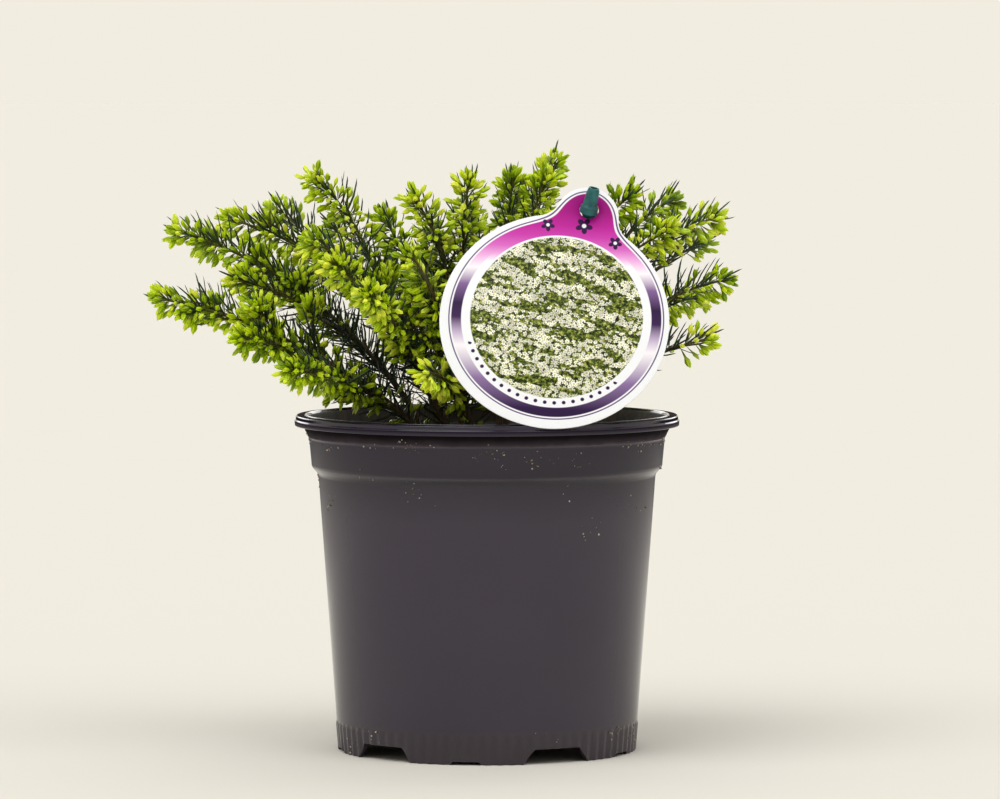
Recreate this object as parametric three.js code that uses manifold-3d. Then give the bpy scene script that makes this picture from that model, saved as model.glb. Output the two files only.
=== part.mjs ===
// A white winter heath (Erica x darleyensis) in a 13 cm, one-litre nursery pot, with its label on a stake.
// Millimetres, +Z up. The origin is on the pot's axis at its base, and -Y faces the viewer.
import * as THREE from "three";
import { mergeVertices } from "three/addons/utils/BufferGeometryUtils.js";
import Module from "manifold-3d";

const wasm = await Module();
wasm.setup();

// Pot: a thin moulded container with a rolled rim, two stepped bands and a ribbed foot.
const RIM_RADIUS = 65;
const POT_HEIGHT = 113.3;
const LIP_HEIGHT = 3.5;
const WALL = 1.2;
const BODY_BOTTOM_RADIUS = 51;
const BODY_TOP_RADIUS = 57;
const BAND_RADIUS = 59.5;
const BAND_BOTTOM_Z = 95.9;
const BAND_TOP_Z = 105.4;
const NECK_RADIUS = 62;
const FOOT_RADIUS = 50.2;
const FOOT_HEIGHT = 10.3;
const FOOT_FLARE = 1.1;
const FLOOR_Z = 5;
const DIMPLE_RADIUS = 12;
const POT_SIDES = 36;
const RIB_COUNT = 80;
const RIB_DEPTH = 0.5;
const NOTCH_COUNT = 5;
const FIRST_NOTCH_DEG = 28;
const BIG_NOTCH = { height: 5, bottomWidth: 26, topWidth: 17 };
const SMALL_NOTCH = { height: 1.1, bottomWidth: 11, topWidth: 9 };
const DRAIN_SLOT = { length: 9, width: 5, fromAxis: 42 };

// Peat: it fills the pot, mounded a little round the stems.
const CLEARANCE = 0.3;
const PEAT_EDGE_Z = 104;
const PEAT_MOUND = 3.6;
const PEAT_RELIEF = 0.7;
const PEAT_SIDES = 28;
const HOLE_DEPTH = 11;

// Label: a round card with a tab, leaning back on the rim, hung on the stake's peg.
const LABEL_RADIUS = 37.9;
const LABEL_THICKNESS = 0.6;
const LABEL_LEAN_DEG = 24;
const LABEL_TURN_DEG = 16.5;
const LABEL_CENTRE = new THREE.Vector3(22.3, -47.4, 146.9);
const TAB_RADIUS = 10.5;
const TAB_TOP = 49.2;
const TAB_FILLET = 8;
const LABEL_HOLE = { radius: 2.9, up: 41.2 };
const PEG = { neckRadius: 2.3, headRadius: 2.5, topRadius: 1.9, length: 9.4, tiltDeg: 38 };
const STAKE = { width: 4.4, thickness: 2.2, behind: 0.5, depth: 30 };

// Shoots: slim woody stems set with needles and flower buds in whorls.
const WHORL_SPACING = 3.4;
const BARE_SPACING = 7;
const STEM_SIDES = 3;
const SHOOT_RADIUS = 0.95;
const TIP_RADIUS = 0.6;
const STUMP_RADIUS = 1.6;
const STUMP_TOP_RADIUS = 1.2;
const BARE_LENGTH = 15;
const SIDE_BARE_LENGTH = 5;
const TIP_TUFT = 4;
const NEEDLE_LENGTH = 9;
const BUD_LENGTH = 5.4;
const BUD_BULGE = 1.15;
const SPIKE_GAP = 0.35;
const SAME_BRANCH_GAP = 0.05;

// Each branch stands in the peat at root, and ends at its main shoot's tip. Its side shoots leave the
// main shoot at a share of its length. A tip's slope is its angle above the level, and so is a main
// shoot's rise where it leaves the peat, in degrees. Its lift is how firmly it holds that rise.
const BRANCHES = [
  {
    name: "branch_left_low",
    root: [-21, -11],
    main: { tip: [-113, -22, 154], slope: 10, rise: 55, lift: 14 },
    sides: [
      { at: 0.16, tip: [-67, -50, 131], slope: 4 },
      { at: 0.42, tip: [-85, -37, 141], slope: 5 },
    ],
  },
  {
    name: "branch_left_middle",
    root: [-21, 5],
    main: { tip: [-108, 2, 176], slope: 15, rise: 62, lift: 22 },
    sides: [
      { at: 0.2, tip: [-84, 34, 158], slope: 10 },
      { at: 0.45, tip: [-88, -9, 160], slope: 12 },
    ],
  },
  {
    name: "branch_left_high",
    root: [-13, 14],
    main: { tip: [-92, 20, 180], slope: 15, rise: 70, lift: 34 },
    sides: [
      { at: 0.3, tip: [-61, 8, 194], slope: 35 },
      { at: 0.55, tip: [-76, 40, 184], slope: 25 },
    ],
  },
  {
    name: "branch_front_left",
    root: [-13, -11],
    main: { tip: [-62, -26, 174], slope: 22, rise: 62, lift: 26 },
    sides: [
      { at: 0.22, tip: [-40, -62, 157], slope: 15 },
      { at: 0.5, tip: [-53, -43, 168], slope: 30 },
    ],
  },
  {
    name: "branch_front_middle",
    root: [-4, -20],
    main: { tip: [-27, -46, 172], slope: 45, rise: 60, lift: 24 },
    sides: [
      { at: 0.15, tip: [-20, -63, 131], slope: 5 },
      { at: 0.35, tip: [-37, -35, 152], slope: 25 },
    ],
  },
  {
    name: "branch_centre",
    root: [-9, 2],
    main: { tip: [-6, -8, 196], slope: 72, rise: 86, lift: 40 },
    sides: [
      { at: 0.45, tip: [-26, -16, 188], slope: 40 },
      { at: 0.25, tip: [-24, 10, 170], slope: 50 },
    ],
  },
  {
    name: "branch_centre_left",
    root: [-17, 25],
    main: { tip: [-38, 34, 183], slope: 55, rise: 75, lift: 34 },
    sides: [
      { at: 0.25, tip: [-66, 62, 160], slope: 15 },
      { at: 0.5, tip: [-56, 44, 178], slope: 35 },
    ],
  },
  {
    name: "branch_centre_right",
    root: [4, 8],
    main: { tip: [9, 16, 197], slope: 80, rise: 86, lift: 40 },
    sides: [
      { at: 0.5, tip: [22, 2, 196], slope: 60 },
      { at: 0.25, tip: [33, 12, 174], slope: 45 },
    ],
  },
  {
    name: "branch_back_high",
    root: [6, 23],
    main: { tip: [24, 40, 202], slope: 65, rise: 82, lift: 44 },
    sides: [
      { at: 0.3, tip: [-8, 68, 182], slope: 40 },
      { at: 0.5, tip: [8, 60, 192], slope: 55 },
    ],
  },
  {
    name: "branch_back_low",
    root: [-6, 32],
    main: { tip: [-22, 92, 158], slope: 12, rise: 58, lift: 20 },
    sides: [
      { at: 0.18, tip: [16, 86, 142], slope: 8 },
      { at: 0.4, tip: [-46, 82, 150], slope: 12 },
    ],
  },
  {
    name: "branch_right_high",
    root: [16, 5],
    main: { tip: [52, 2, 190], slope: 38, rise: 76, lift: 36 },
    sides: [
      { at: 0.3, tip: [66, 34, 187], slope: 25 },
      { at: 0.5, tip: [64, -10, 178], slope: 30 },
    ],
  },
  {
    name: "branch_right_middle",
    root: [22, -4],
    main: { tip: [81, 6, 181], slope: 18, rise: 68, lift: 32 },
    sides: [
      { at: 0.25, tip: [84, -20, 160], slope: 8 },
      { at: 0.5, tip: [76, 24, 172], slope: 20 },
    ],
  },
  {
    name: "branch_right_low",
    root: [25, -14],
    main: { tip: [76, -40, 141], slope: 10, rise: 55, lift: 16 },
    sides: [{ at: 0.3, tip: [40, -30, 162], slope: 50 }],
  },
  {
    name: "branch_back_right",
    root: [20, 21],
    main: { tip: [48, 76, 168], slope: 20, rise: 60, lift: 26 },
    sides: [
      { at: 0.2, tip: [78, 50, 152], slope: 8 },
      { at: 0.45, tip: [36, 86, 156], slope: 20 },
    ],
  },
];

const degrees = THREE.MathUtils.degToRad;

// A repeatable source of numbers from 0 to 1.
function seededRandom(seed) {
  let state = seed;
  return () => {
    state = (state + 0x6d2b79f5) | 0;
    let t = Math.imul(state ^ (state >>> 15), 1 | state);
    t = (t + Math.imul(t ^ (t >>> 7), 61 | t)) ^ t;
    return ((t ^ (t >>> 14)) >>> 0) / 4294967296;
  };
}

// Solids and geometries

function solidOf(geometry) {
  const bare = new THREE.BufferGeometry();
  const source = geometry.index ? geometry.toNonIndexed() : geometry;
  bare.setAttribute("position", source.getAttribute("position"));
  const merged = mergeVertices(bare, 1e-4);
  const corners = Array.from(merged.index.array);
  const triVerts = [];
  for (let i = 0; i < corners.length; i += 3) {
    const [a, b, c] = corners.slice(i, i + 3);
    if (a !== b && b !== c && c !== a) triVerts.push(a, b, c);
  }
  return new wasm.Manifold(
    new wasm.Mesh({
      numProp: 3,
      vertProperties: merged.attributes.position.array,
      triVerts: new Uint32Array(triVerts),
    }),
  );
}

function geometryOf(solid) {
  const mesh = solid.getMesh();
  const geometry = new THREE.BufferGeometry();
  geometry.setAttribute("position", new THREE.BufferAttribute(mesh.vertProperties, 3));
  geometry.setIndex(new THREE.BufferAttribute(mesh.triVerts, 1));
  return geometry;
}

// A closed solid of revolution about Z from [radius, z] pairs, listed outside first from the bottom up.
function turned(profile, sides) {
  const points = profile.map(([r, z]) => new THREE.Vector2(r, z));
  return new THREE.LatheGeometry(points, sides).rotateX(Math.PI / 2);
}

// A block with a trapezoid section that points out along -Y, turned about Z by an angle from the front.
function outwardBlock({ height, bottomWidth, topWidth }, near, far, angleDeg) {
  const below = 1;
  const shape = new THREE.Shape();
  shape.moveTo(-bottomWidth / 2, -below);
  shape.lineTo(bottomWidth / 2, -below);
  shape.lineTo(topWidth / 2, height);
  shape.lineTo(-topWidth / 2, height);
  shape.closePath();
  const block = new THREE.ExtrudeGeometry(shape, { depth: far - near, bevelEnabled: false });
  block.rotateX(Math.PI / 2).translate(0, -near, 0);
  return block.rotateZ(degrees(angleDeg));
}

// Pot

function potProfile() {
  const lipBottom = POT_HEIGHT - LIP_HEIGHT;
  const inner = (r) => r - WALL;
  return [
    [0, 0],
    [DIMPLE_RADIUS, 0],
    [DIMPLE_RADIUS + 4, FLOOR_Z],
    [FOOT_RADIUS - RIB_DEPTH - WALL, FLOOR_Z],
    [FOOT_RADIUS - RIB_DEPTH - WALL, 0],
    [FOOT_RADIUS - RIB_DEPTH, 0],
    [BODY_BOTTOM_RADIUS, FOOT_HEIGHT + 0.6],
    [BODY_TOP_RADIUS, BAND_BOTTOM_Z - 2.4],
    [BAND_RADIUS - 0.3, BAND_BOTTOM_Z],
    [BAND_RADIUS + 0.3, BAND_TOP_Z],
    [NECK_RADIUS - 0.4, BAND_TOP_Z + 2],
    [NECK_RADIUS, lipBottom],
    [RIM_RADIUS - 0.3, lipBottom],
    [RIM_RADIUS, lipBottom + 0.6],
    [RIM_RADIUS, POT_HEIGHT - 0.9],
    [RIM_RADIUS - 0.9, POT_HEIGHT],
    [NECK_RADIUS + 0.3, POT_HEIGHT],
    [inner(NECK_RADIUS), POT_HEIGHT - 1.2],
    [inner(BAND_RADIUS) + 0.3, BAND_TOP_Z],
    [inner(BAND_RADIUS) - 0.3, BAND_BOTTOM_Z],
    [inner(BODY_TOP_RADIUS), BAND_BOTTOM_Z - 2.4],
    [inner(BODY_BOTTOM_RADIUS), FLOOR_Z + WALL],
    [DIMPLE_RADIUS + 3, FLOOR_Z + WALL],
    [DIMPLE_RADIUS - 1, WALL],
    [0, WALL],
  ];
}

// The foot's upright ribs, as one zigzag ring that is sunk in the pot's wall.
function ribRing() {
  const shape = new THREE.Shape();
  for (let i = 0; i < 2 * RIB_COUNT; i++) {
    const angle = (Math.PI * i) / RIB_COUNT;
    const radius = i % 2 ? FOOT_RADIUS - RIB_DEPTH / 2 : FOOT_RADIUS + RIB_DEPTH / 2;
    shape[i ? "lineTo" : "moveTo"](radius * Math.cos(angle), radius * Math.sin(angle));
  }
  shape.closePath();
  const opening = new THREE.Path();
  opening.absarc(0, 0, FOOT_RADIUS - RIB_DEPTH - WALL / 2, 0, 2 * Math.PI, true);
  shape.holes.push(opening);
  const ring = new THREE.ExtrudeGeometry(shape, {
    depth: FOOT_HEIGHT,
    bevelEnabled: false,
    curveSegments: POT_SIDES / 2,
  });
  const position = ring.getAttribute("position");
  for (let i = 0; i < position.count; i++) {
    const flare = 1 + (FOOT_FLARE * position.getZ(i)) / FOOT_HEIGHT / FOOT_RADIUS;
    position.setXY(i, position.getX(i) * flare, position.getY(i) * flare);
  }
  return ring;
}

function makePot() {
  let pot = solidOf(turned(potProfile(), POT_SIDES)).add(solidOf(ribRing()));
  const pitch = 360 / NOTCH_COUNT;
  for (let i = 0; i < NOTCH_COUNT; i++) {
    const angle = FIRST_NOTCH_DEG + i * pitch;
    pot = pot.subtract(solidOf(outwardBlock(BIG_NOTCH, FOOT_RADIUS - 5, FOOT_RADIUS + 5, angle)));
    const between = angle + pitch / 2;
    pot = pot.subtract(solidOf(outwardBlock(SMALL_NOTCH, FOOT_RADIUS - 5, FOOT_RADIUS + 5, between)));
    const slot = new THREE.BoxGeometry(DRAIN_SLOT.length, DRAIN_SLOT.width, 4 * WALL);
    slot.translate(0, -DRAIN_SLOT.fromAxis, FLOOR_Z).rotateZ(degrees(angle));
    pot = pot.subtract(solidOf(slot));
  }
  return pot;
}

// Peat

function peatHeight(x, y) {
  const r = Math.hypot(x, y);
  const mound = PEAT_MOUND * Math.exp(-((r / 34) ** 2));
  const lumps = Math.sin(0.31 * x + 1.3) * Math.cos(0.27 * y - 0.6) + 0.6 * Math.sin(0.23 * x - 0.37 * y);
  return PEAT_EDGE_Z + mound + PEAT_RELIEF * lumps;
}

function makePeat() {
  const gap = WALL + CLEARANCE;
  const floor = FLOOR_Z + gap;
  const profile = [
    [0, gap],
    [DIMPLE_RADIUS - 1.2, gap],
    [DIMPLE_RADIUS + 2.8, floor],
    [BODY_BOTTOM_RADIUS - gap - 0.2, floor],
    [BODY_TOP_RADIUS - gap - 0.1, BAND_BOTTOM_Z - 2.4],
    [BAND_RADIUS - 0.4 - gap, BAND_BOTTOM_Z + 0.2],
    [BAND_RADIUS - 0.3 - gap, PEAT_EDGE_Z - 1.2],
    [54, PEAT_EDGE_Z],
    [42, PEAT_EDGE_Z],
    [30, PEAT_EDGE_Z],
    [20, PEAT_EDGE_Z],
    [10, PEAT_EDGE_Z],
    [0, PEAT_EDGE_Z],
  ];
  const geometry = turned(profile, PEAT_SIDES);
  const position = geometry.getAttribute("position");
  for (let i = 0; i < position.count; i++) {
    if (position.getZ(i) < PEAT_EDGE_Z - 0.01) continue;
    const x = Math.round(position.getX(i) * 1000) / 1000;
    const y = Math.round(position.getY(i) * 1000) / 1000;
    position.setXYZ(i, x, y, peatHeight(x, y));
  }
  let peat = solidOf(geometry);
  for (const { root } of BRANCHES) {
    const height = HOLE_DEPTH + 8;
    const hole = new THREE.CylinderGeometry(STUMP_RADIUS + 0.45, STUMP_RADIUS + 0.45, height, 6);
    hole.rotateX(Math.PI / 2).translate(root[0], root[1], holeBottom(root) - CLEARANCE + height / 2);
    peat = peat.subtract(solidOf(hole));
  }
  const { foot, direction } = stakeLine();
  const length = 2 * STAKE.depth;
  const socket = new THREE.BoxGeometry(STAKE.width + 2 * CLEARANCE, STAKE.thickness + 2 * CLEARANCE, length);
  socket.translate(0, 0, length / 2 - CLEARANCE).applyMatrix4(alongZ(foot, direction));
  return peat.subtract(solidOf(socket));
}

function holeBottom(root) {
  return peatHeight(root[0], root[1]) - HOLE_DEPTH;
}

// Shoots

function levelDirection(from, to) {
  return new THREE.Vector3(to.x - from.x, to.y - from.y, 0).normalize();
}

function sloped(level, slopeDeg) {
  const across = Math.cos(degrees(slopeDeg));
  return new THREE.Vector3(level.x * across, level.y * across, Math.sin(degrees(slopeDeg)));
}

// A shoot's centreline: it leaves along start, and arrives at its tip at the tip's slope.
function shootCurve(from, start, { tip, slope, lift }) {
  const end = new THREE.Vector3(...tip);
  const arriving = sloped(levelDirection(from, end), slope);
  end.addScaledVector(arriving, -TIP_TUFT);
  const span = from.distanceTo(end);
  return new THREE.CubicBezierCurve3(
    from,
    from.clone().addScaledVector(start, lift),
    end.clone().addScaledVector(arriving, -0.42 * span),
    end,
  );
}

// Evenly carried frames along a curve at the given lengths from its start.
function framesAlong(curve, lengths) {
  const total = curve.getLength();
  let side = new THREE.Vector3(0, 1, 0);
  return lengths.map((length) => {
    const u = Math.min(1, length / total);
    const centre = curve.getPointAt(u);
    const tangent = curve.getTangentAt(u);
    side = side.clone().addScaledVector(tangent, -side.dot(tangent)).normalize();
    const across = new THREE.Vector3().crossVectors(tangent, side);
    return { centre, tangent, side, across, length, share: u };
  });
}

// Lays out a shoot's stem rings, and the needle or bud that each face of the stem may carry.
function planShoot(curve, bareLength, startRadius, random) {
  const total = curve.getLength();
  const lengths = [0];
  while (lengths.at(-1) < bareLength - 0.5 * BARE_SPACING) {
    lengths.push(Math.min(bareLength, lengths.at(-1) + BARE_SPACING));
  }
  const firstWhorl = lengths.length - 1;
  const whorls = Math.round((total - lengths.at(-1)) / WHORL_SPACING);
  const spacing = (total - lengths.at(-1)) / whorls;
  for (let i = 0; i < whorls; i++) lengths.push(lengths.at(-1) + spacing);
  const frames = framesAlong(curve, lengths);
  const rings = frames.map((frame, k) => {
    const taper = Math.min(1, frame.length / Math.max(bareLength, 1));
    const thick = startRadius + (SHOOT_RADIUS - startRadius) * taper;
    const radius = thick + (TIP_RADIUS - SHOOT_RADIUS) * frame.share ** 2;
    const ring = [];
    for (let j = 0; j < STEM_SIDES; j++) {
      const angle = (2 * Math.PI * (j + k / 2)) / STEM_SIDES + 0.09 * k;
      const out = frame.side.clone().multiplyScalar(Math.cos(angle)).addScaledVector(frame.across, Math.sin(angle));
      ring.push(frame.centre.clone().addScaledVector(out, radius));
    }
    return ring;
  });
  const faces = [];
  for (let k = 0; k + 1 < rings.length; k++) {
    for (let j = 0; j < STEM_SIDES; j++) {
      const next = (j + 1) % STEM_SIDES;
      faces.push({ band: k, kind: j, corners: [rings[k][j], rings[k][next], rings[k + 1][j]] });
      faces.push({ band: k, kind: j + 3, corners: [rings[k][next], rings[k + 1][next], rings[k + 1][j]] });
    }
  }
  for (const face of faces) {
    if (face.band < firstWhorl) continue;
    const last = face.band >= rings.length - 2;
    const turn = (face.kind + 2 * face.band) % 6;
    const carries = last ? "bud" : { 0: "needle", 2: "bud", 4: "needle" }[turn];
    if (!carries) continue;
    const frame = frames[face.band];
    const middle = new THREE.Vector3();
    for (const corner of face.corners) middle.addScaledVector(corner, 1 / 3);
    const out = middle.clone().sub(frame.centre);
    out.addScaledVector(frame.tangent, -out.dot(frame.tangent)).normalize();
    const swing = new THREE.Vector3().crossVectors(frame.tangent, out).multiplyScalar(0.35 * (random() - 0.5));
    face.spike = {
      kind: carries,
      root: middle,
      out: out.add(swing).normalize(),
      tangent: frame.tangent,
      size: 0.9 + 0.2 * random(),
      nearTip: Math.max(0, 1 - (total - frame.length) / 14),
      baseRadius: carries === "bud" ? 1.15 : 0.85,
    };
  }
  return { rings, faces, frames, endRing: rings.at(-1), startRing: rings[0] };
}

// What a needle or bud tries in turn until it is clear of its neighbours: [degrees off the stem, share of length].
const ATTITUDES = {
  needle: [[54, 1], [42, 1], [30, 0.95], [22, 0.85], [44, 0.6], [28, 0.5]],
  bud: [[60, 1], [48, 1], [36, 0.9], [50, 0.7]],
};

function spikeEnd(spike, [spreadDeg, share]) {
  const spread = degrees(spreadDeg * (1 - 0.6 * spike.nearTip));
  const full = spike.kind === "bud" ? BUD_LENGTH : NEEDLE_LENGTH * (1 - 0.35 * spike.nearTip);
  const length = full * share * spike.size;
  return spike.root
    .clone()
    .addScaledVector(spike.out, length * Math.sin(spread))
    .addScaledVector(spike.tangent, length * Math.cos(spread));
}

// The gap between two tapered rods, from their closest points.
function rodGap(a, b) {
  const d1 = a.end.clone().sub(a.start);
  const d2 = b.end.clone().sub(b.start);
  const r = a.start.clone().sub(b.start);
  const aa = d1.dot(d1);
  const ee = d2.dot(d2);
  const f = d2.dot(r);
  const c = d1.dot(r);
  const bb = d1.dot(d2);
  const denominator = aa * ee - bb * bb;
  let s = denominator > 1e-9 ? THREE.MathUtils.clamp((bb * f - c * ee) / denominator, 0, 1) : 0;
  const t = THREE.MathUtils.clamp((bb * s + f) / ee, 0, 1);
  s = THREE.MathUtils.clamp((bb * t - c) / aa, 0, 1);
  const p = a.start.clone().addScaledVector(d1, s);
  const q = b.start.clone().addScaledVector(d2, t);
  const thickness = a.radius + (a.endRadius - a.radius) * s + b.radius + (b.endRadius - b.radius) * t;
  return p.distanceTo(q) - thickness;
}

// Is a point of a needle clear of the peat, the pot's wall and rim, the label and the stake?
function clearOfHolder(point) {
  const r = Math.hypot(point.x, point.y);
  if (point.z < POT_HEIGHT + 1 && r > NECK_RADIUS - WALL - 5) return false;
  if (point.z < peatHeight(point.x, point.y) + 1.6 && r < RIM_RADIUS) return false;
  const local = point.clone().applyMatrix4(labelInverse);
  return !(Math.hypot(local.x, local.y - 4) < LABEL_RADIUS + 12 && local.z > -STAKE.thickness - 3.2);
}

// Plans every branch, then lets each needle and bud keep the first attitude that clears the other branches.
function planBranches() {
  const random = seededRandom(11);
  const stake = stakeLine();
  const rods = [makeRod("stake", 0, "stem", stake.foot, stake.top, STAKE.width / 2, STAKE.width / 2)];
  const plans = BRANCHES.map((branch, index) => {
    const root = new THREE.Vector3(branch.root[0], branch.root[1], peatHeight(...branch.root) + 1);
    const towards = levelDirection(root, new THREE.Vector3(...branch.main.tip));
    const mainCurve = shootCurve(root, sloped(towards, branch.main.rise), branch.main);
    const shoots = [planShoot(mainCurve, BARE_LENGTH, STUMP_TOP_RADIUS - 0.2, random)];
    for (const side of branch.sides) {
      const from = mainCurve.getPointAt(side.at);
      const along = mainCurve.getTangentAt(side.at);
      const level = levelDirection(from, new THREE.Vector3(...side.tip));
      const leaving = along.clone().add(level).normalize();
      const curve = shootCurve(from, leaving, { ...side, lift: 9 });
      shoots.push(planShoot(curve, SIDE_BARE_LENGTH, SHOOT_RADIUS, random));
    }
    shoots.forEach(({ frames }, order) => {
      for (let k = 0; k + 1 < frames.length; k++) {
        const radius = order === 0 && k < 3 ? STUMP_TOP_RADIUS : SHOOT_RADIUS;
        const [start, end] = [frames[k].centre, frames[k + 1].centre];
        rods.push(makeRod(index, order, "stem", start, end, radius, radius));
      }
    });
    return { ...branch, index, mainCurve, shoots };
  });
  for (const { index, shoots } of plans) {
    shoots.forEach((shoot, order) => {
      for (const face of shoot.faces) if (face.spike) settleSpike(face.spike, index, order, rods);
    });
  }
  return plans;
}

function makeRod(branch, shoot, kind, start, end, radius, endRadius) {
  const centre = start.clone().lerp(end, 0.5);
  const reach = start.distanceTo(end) / 2 + radius;
  return { branch, shoot, kind, start, end, radius, endRadius, centre, reach };
}

function settleSpike(spike, branch, shoot, rods) {
  for (const attitude of ATTITUDES[spike.kind]) {
    const end = spikeEnd(spike, attitude);
    const middle = spike.root.clone().lerp(end, 0.6);
    if (!clearOfHolder(end) || !clearOfHolder(middle)) continue;
    const whole = makeRod(branch, shoot, spike.kind, spike.root, end, spike.baseRadius, 0.1);
    const outer = spike.root.clone().lerp(end, 0.4);
    const free = makeRod(branch, shoot, spike.kind, outer, end, 0.6 * spike.baseRadius, 0.1);
    whole.free = free;
    const blocked = rods.some((other) => {
      if (other.branch !== branch) return near(whole, other, SPIKE_GAP);
      if (other.kind === "stem") return other.shoot !== shoot && near(free, other, 0);
      return near(free, other.free, SAME_BRANCH_GAP);
    });
    if (blocked) continue;
    spike.end = end;
    rods.push(whole);
    return;
  }
}

function near(rod, other, gap) {
  return rod.centre.distanceTo(other.centre) < rod.reach + other.reach + gap && rodGap(rod, other) < gap;
}

// One shoot as a closed skin: a slim stem whose faces are drawn out into needles and bulging buds.
function shootSolid({ rings, faces, endRing, startRing }) {
  const corners = [];
  const triangle = (...points) => corners.push(...points.flatMap((p) => [p.x, p.y, p.z]));
  for (const { corners: [a, b, c], spike } of faces) {
    if (!spike || !spike.end) {
      triangle(a, b, c);
    } else if (spike.kind === "needle") {
      triangle(a, b, spike.end);
      triangle(b, c, spike.end);
      triangle(c, a, spike.end);
    } else {
      drawBud(triangle, a, b, c, spike);
    }
  }
  triangle(startRing[2], startRing[1], startRing[0]);
  triangle(endRing[0], endRing[1], endRing[2]);
  const geometry = new THREE.BufferGeometry();
  geometry.setAttribute("position", new THREE.Float32BufferAttribute(corners, 3));
  return solidOf(geometry);
}

// A bud is a spike whose side facing the stem's foot swells out to a belly.
function drawBud(triangle, a, b, c, spike) {
  const low = [a, b, c].sort((p, q) => p.dot(spike.tangent) - q.dot(spike.tangent));
  const order = [a, b, c];
  const skip = order.indexOf(low[2]);
  const [p, q, top] = [order[(skip + 1) % 3], order[(skip + 2) % 3], order[skip]];
  const axis = spike.end.clone().sub(spike.root);
  const away = spike.tangent.clone().multiplyScalar(-1);
  away.addScaledVector(axis, -away.dot(axis) / axis.lengthSq()).normalize();
  const belly = spike.root.clone().addScaledVector(axis, 0.5).addScaledVector(away, BUD_BULGE);
  triangle(p, q, belly);
  triangle(q, spike.end, belly);
  triangle(spike.end, p, belly);
  triangle(q, top, spike.end);
  triangle(top, p, spike.end);
}

// The woody foot of a branch, from the bottom of its hole to where the leafy stem leaves it.
function stumpSolid({ root, mainCurve }) {
  const bottom = new THREE.Vector3(root[0], root[1], holeBottom(root));
  const path = new THREE.CurvePath();
  const entry = mainCurve.getPointAt(0);
  path.add(new THREE.LineCurve3(bottom, entry));
  const above = 16 / mainCurve.getLength();
  const bend = mainCurve.getPointAt(above / 2);
  path.add(new THREE.LineCurve3(entry, bend));
  const stops = [bottom, entry, bend, mainCurve.getPointAt(above)];
  const radii = [STUMP_RADIUS, STUMP_RADIUS, STUMP_RADIUS - 0.3, STUMP_TOP_RADIUS];
  const sides = 6;
  const rings = stops.map((centre, k) => {
    const tangent = k < 2 ? new THREE.Vector3(0, 0, 1) : mainCurve.getTangentAt((above * (k - 1)) / 2);
    const side = new THREE.Vector3(1, 0, 0).addScaledVector(tangent, -tangent.x).normalize();
    const across = new THREE.Vector3().crossVectors(tangent, side);
    return Array.from({ length: sides }, (_, j) => {
      const angle = (2 * Math.PI * j) / sides;
      return centre
        .clone()
        .addScaledVector(side, radii[k] * Math.cos(angle))
        .addScaledVector(across, radii[k] * Math.sin(angle));
    });
  });
  const corners = [];
  const triangle = (...points) => corners.push(...points.flatMap((p) => [p.x, p.y, p.z]));
  for (let k = 0; k + 1 < rings.length; k++) {
    for (let j = 0; j < sides; j++) {
      const next = (j + 1) % sides;
      triangle(rings[k][j], rings[k][next], rings[k + 1][j]);
      triangle(rings[k][next], rings[k + 1][next], rings[k + 1][j]);
    }
  }
  for (let j = 1; j + 1 < sides; j++) {
    triangle(rings[0][0], rings[0][j + 1], rings[0][j]);
    triangle(rings.at(-1)[0], rings.at(-1)[j], rings.at(-1)[j + 1]);
  }
  const geometry = new THREE.BufferGeometry();
  geometry.setAttribute("position", new THREE.Float32BufferAttribute(corners, 3));
  return solidOf(geometry);
}

// The pieces of a branch in one skin. Only the outer skin is kept, without any pocket that closes inside it.
function makeBranch(plan) {
  let branch = stumpSolid(plan);
  for (const shoot of plan.shoots) branch = branch.add(shootSolid(shoot));
  return branch.decompose().reduce((a, b) => (b.volume() > a.volume() ? b : a));
}

// Label and stake

// The label's own frame: X across it, Y up it towards the tab, Z out of its printed face.
function labelFrame() {
  const lean = new THREE.Matrix4().makeRotationX(degrees(90 - LABEL_LEAN_DEG));
  const turn = new THREE.Matrix4().makeRotationZ(degrees(-LABEL_TURN_DEG));
  const place = new THREE.Matrix4().makeTranslation(LABEL_CENTRE.x, LABEL_CENTRE.y, LABEL_CENTRE.z);
  return place.multiply(lean).multiply(turn);
}

const labelMatrix = labelFrame();
const labelInverse = labelMatrix.clone().invert();

// Points along an arc, without its first, which the arc before it ends on.
function arc(x, y, radius, from, to, steps) {
  return Array.from({ length: steps }, (_, i) => {
    const angle = from + ((to - from) * (i + 1)) / steps;
    return new THREE.Vector2(x + radius * Math.cos(angle), y + radius * Math.sin(angle));
  });
}

// The outline is the big disc, the tab's smaller disc, and the hollow fillets that run from one to the other.
function labelShape() {
  const tabUp = TAB_TOP - TAB_RADIUS;
  const toFillet = LABEL_RADIUS + TAB_FILLET;
  const tabToFillet = TAB_RADIUS + TAB_FILLET;
  const up = (toFillet ** 2 - tabToFillet ** 2 + tabUp ** 2) / (2 * tabUp);
  const across = Math.sqrt(toFillet ** 2 - up ** 2);
  const discAngle = Math.atan2(up, across);
  const tabAngle = Math.atan2(up - tabUp, across);
  const outline = [
    ...arc(0, 0, LABEL_RADIUS, Math.PI - discAngle, 2 * Math.PI + discAngle, 38),
    ...arc(across, up, TAB_FILLET, Math.PI + discAngle, Math.PI + tabAngle, 5),
    ...arc(0, tabUp, TAB_RADIUS, tabAngle, Math.PI - tabAngle, 12),
    ...arc(-across, up, TAB_FILLET, -tabAngle, -discAngle, 5),
  ];
  const shape = new THREE.Shape(outline);
  shape.holes.push(new THREE.Path(arc(0, LABEL_HOLE.up, LABEL_HOLE.radius, 2 * Math.PI, 0, 12)));
  return shape;
}

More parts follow.
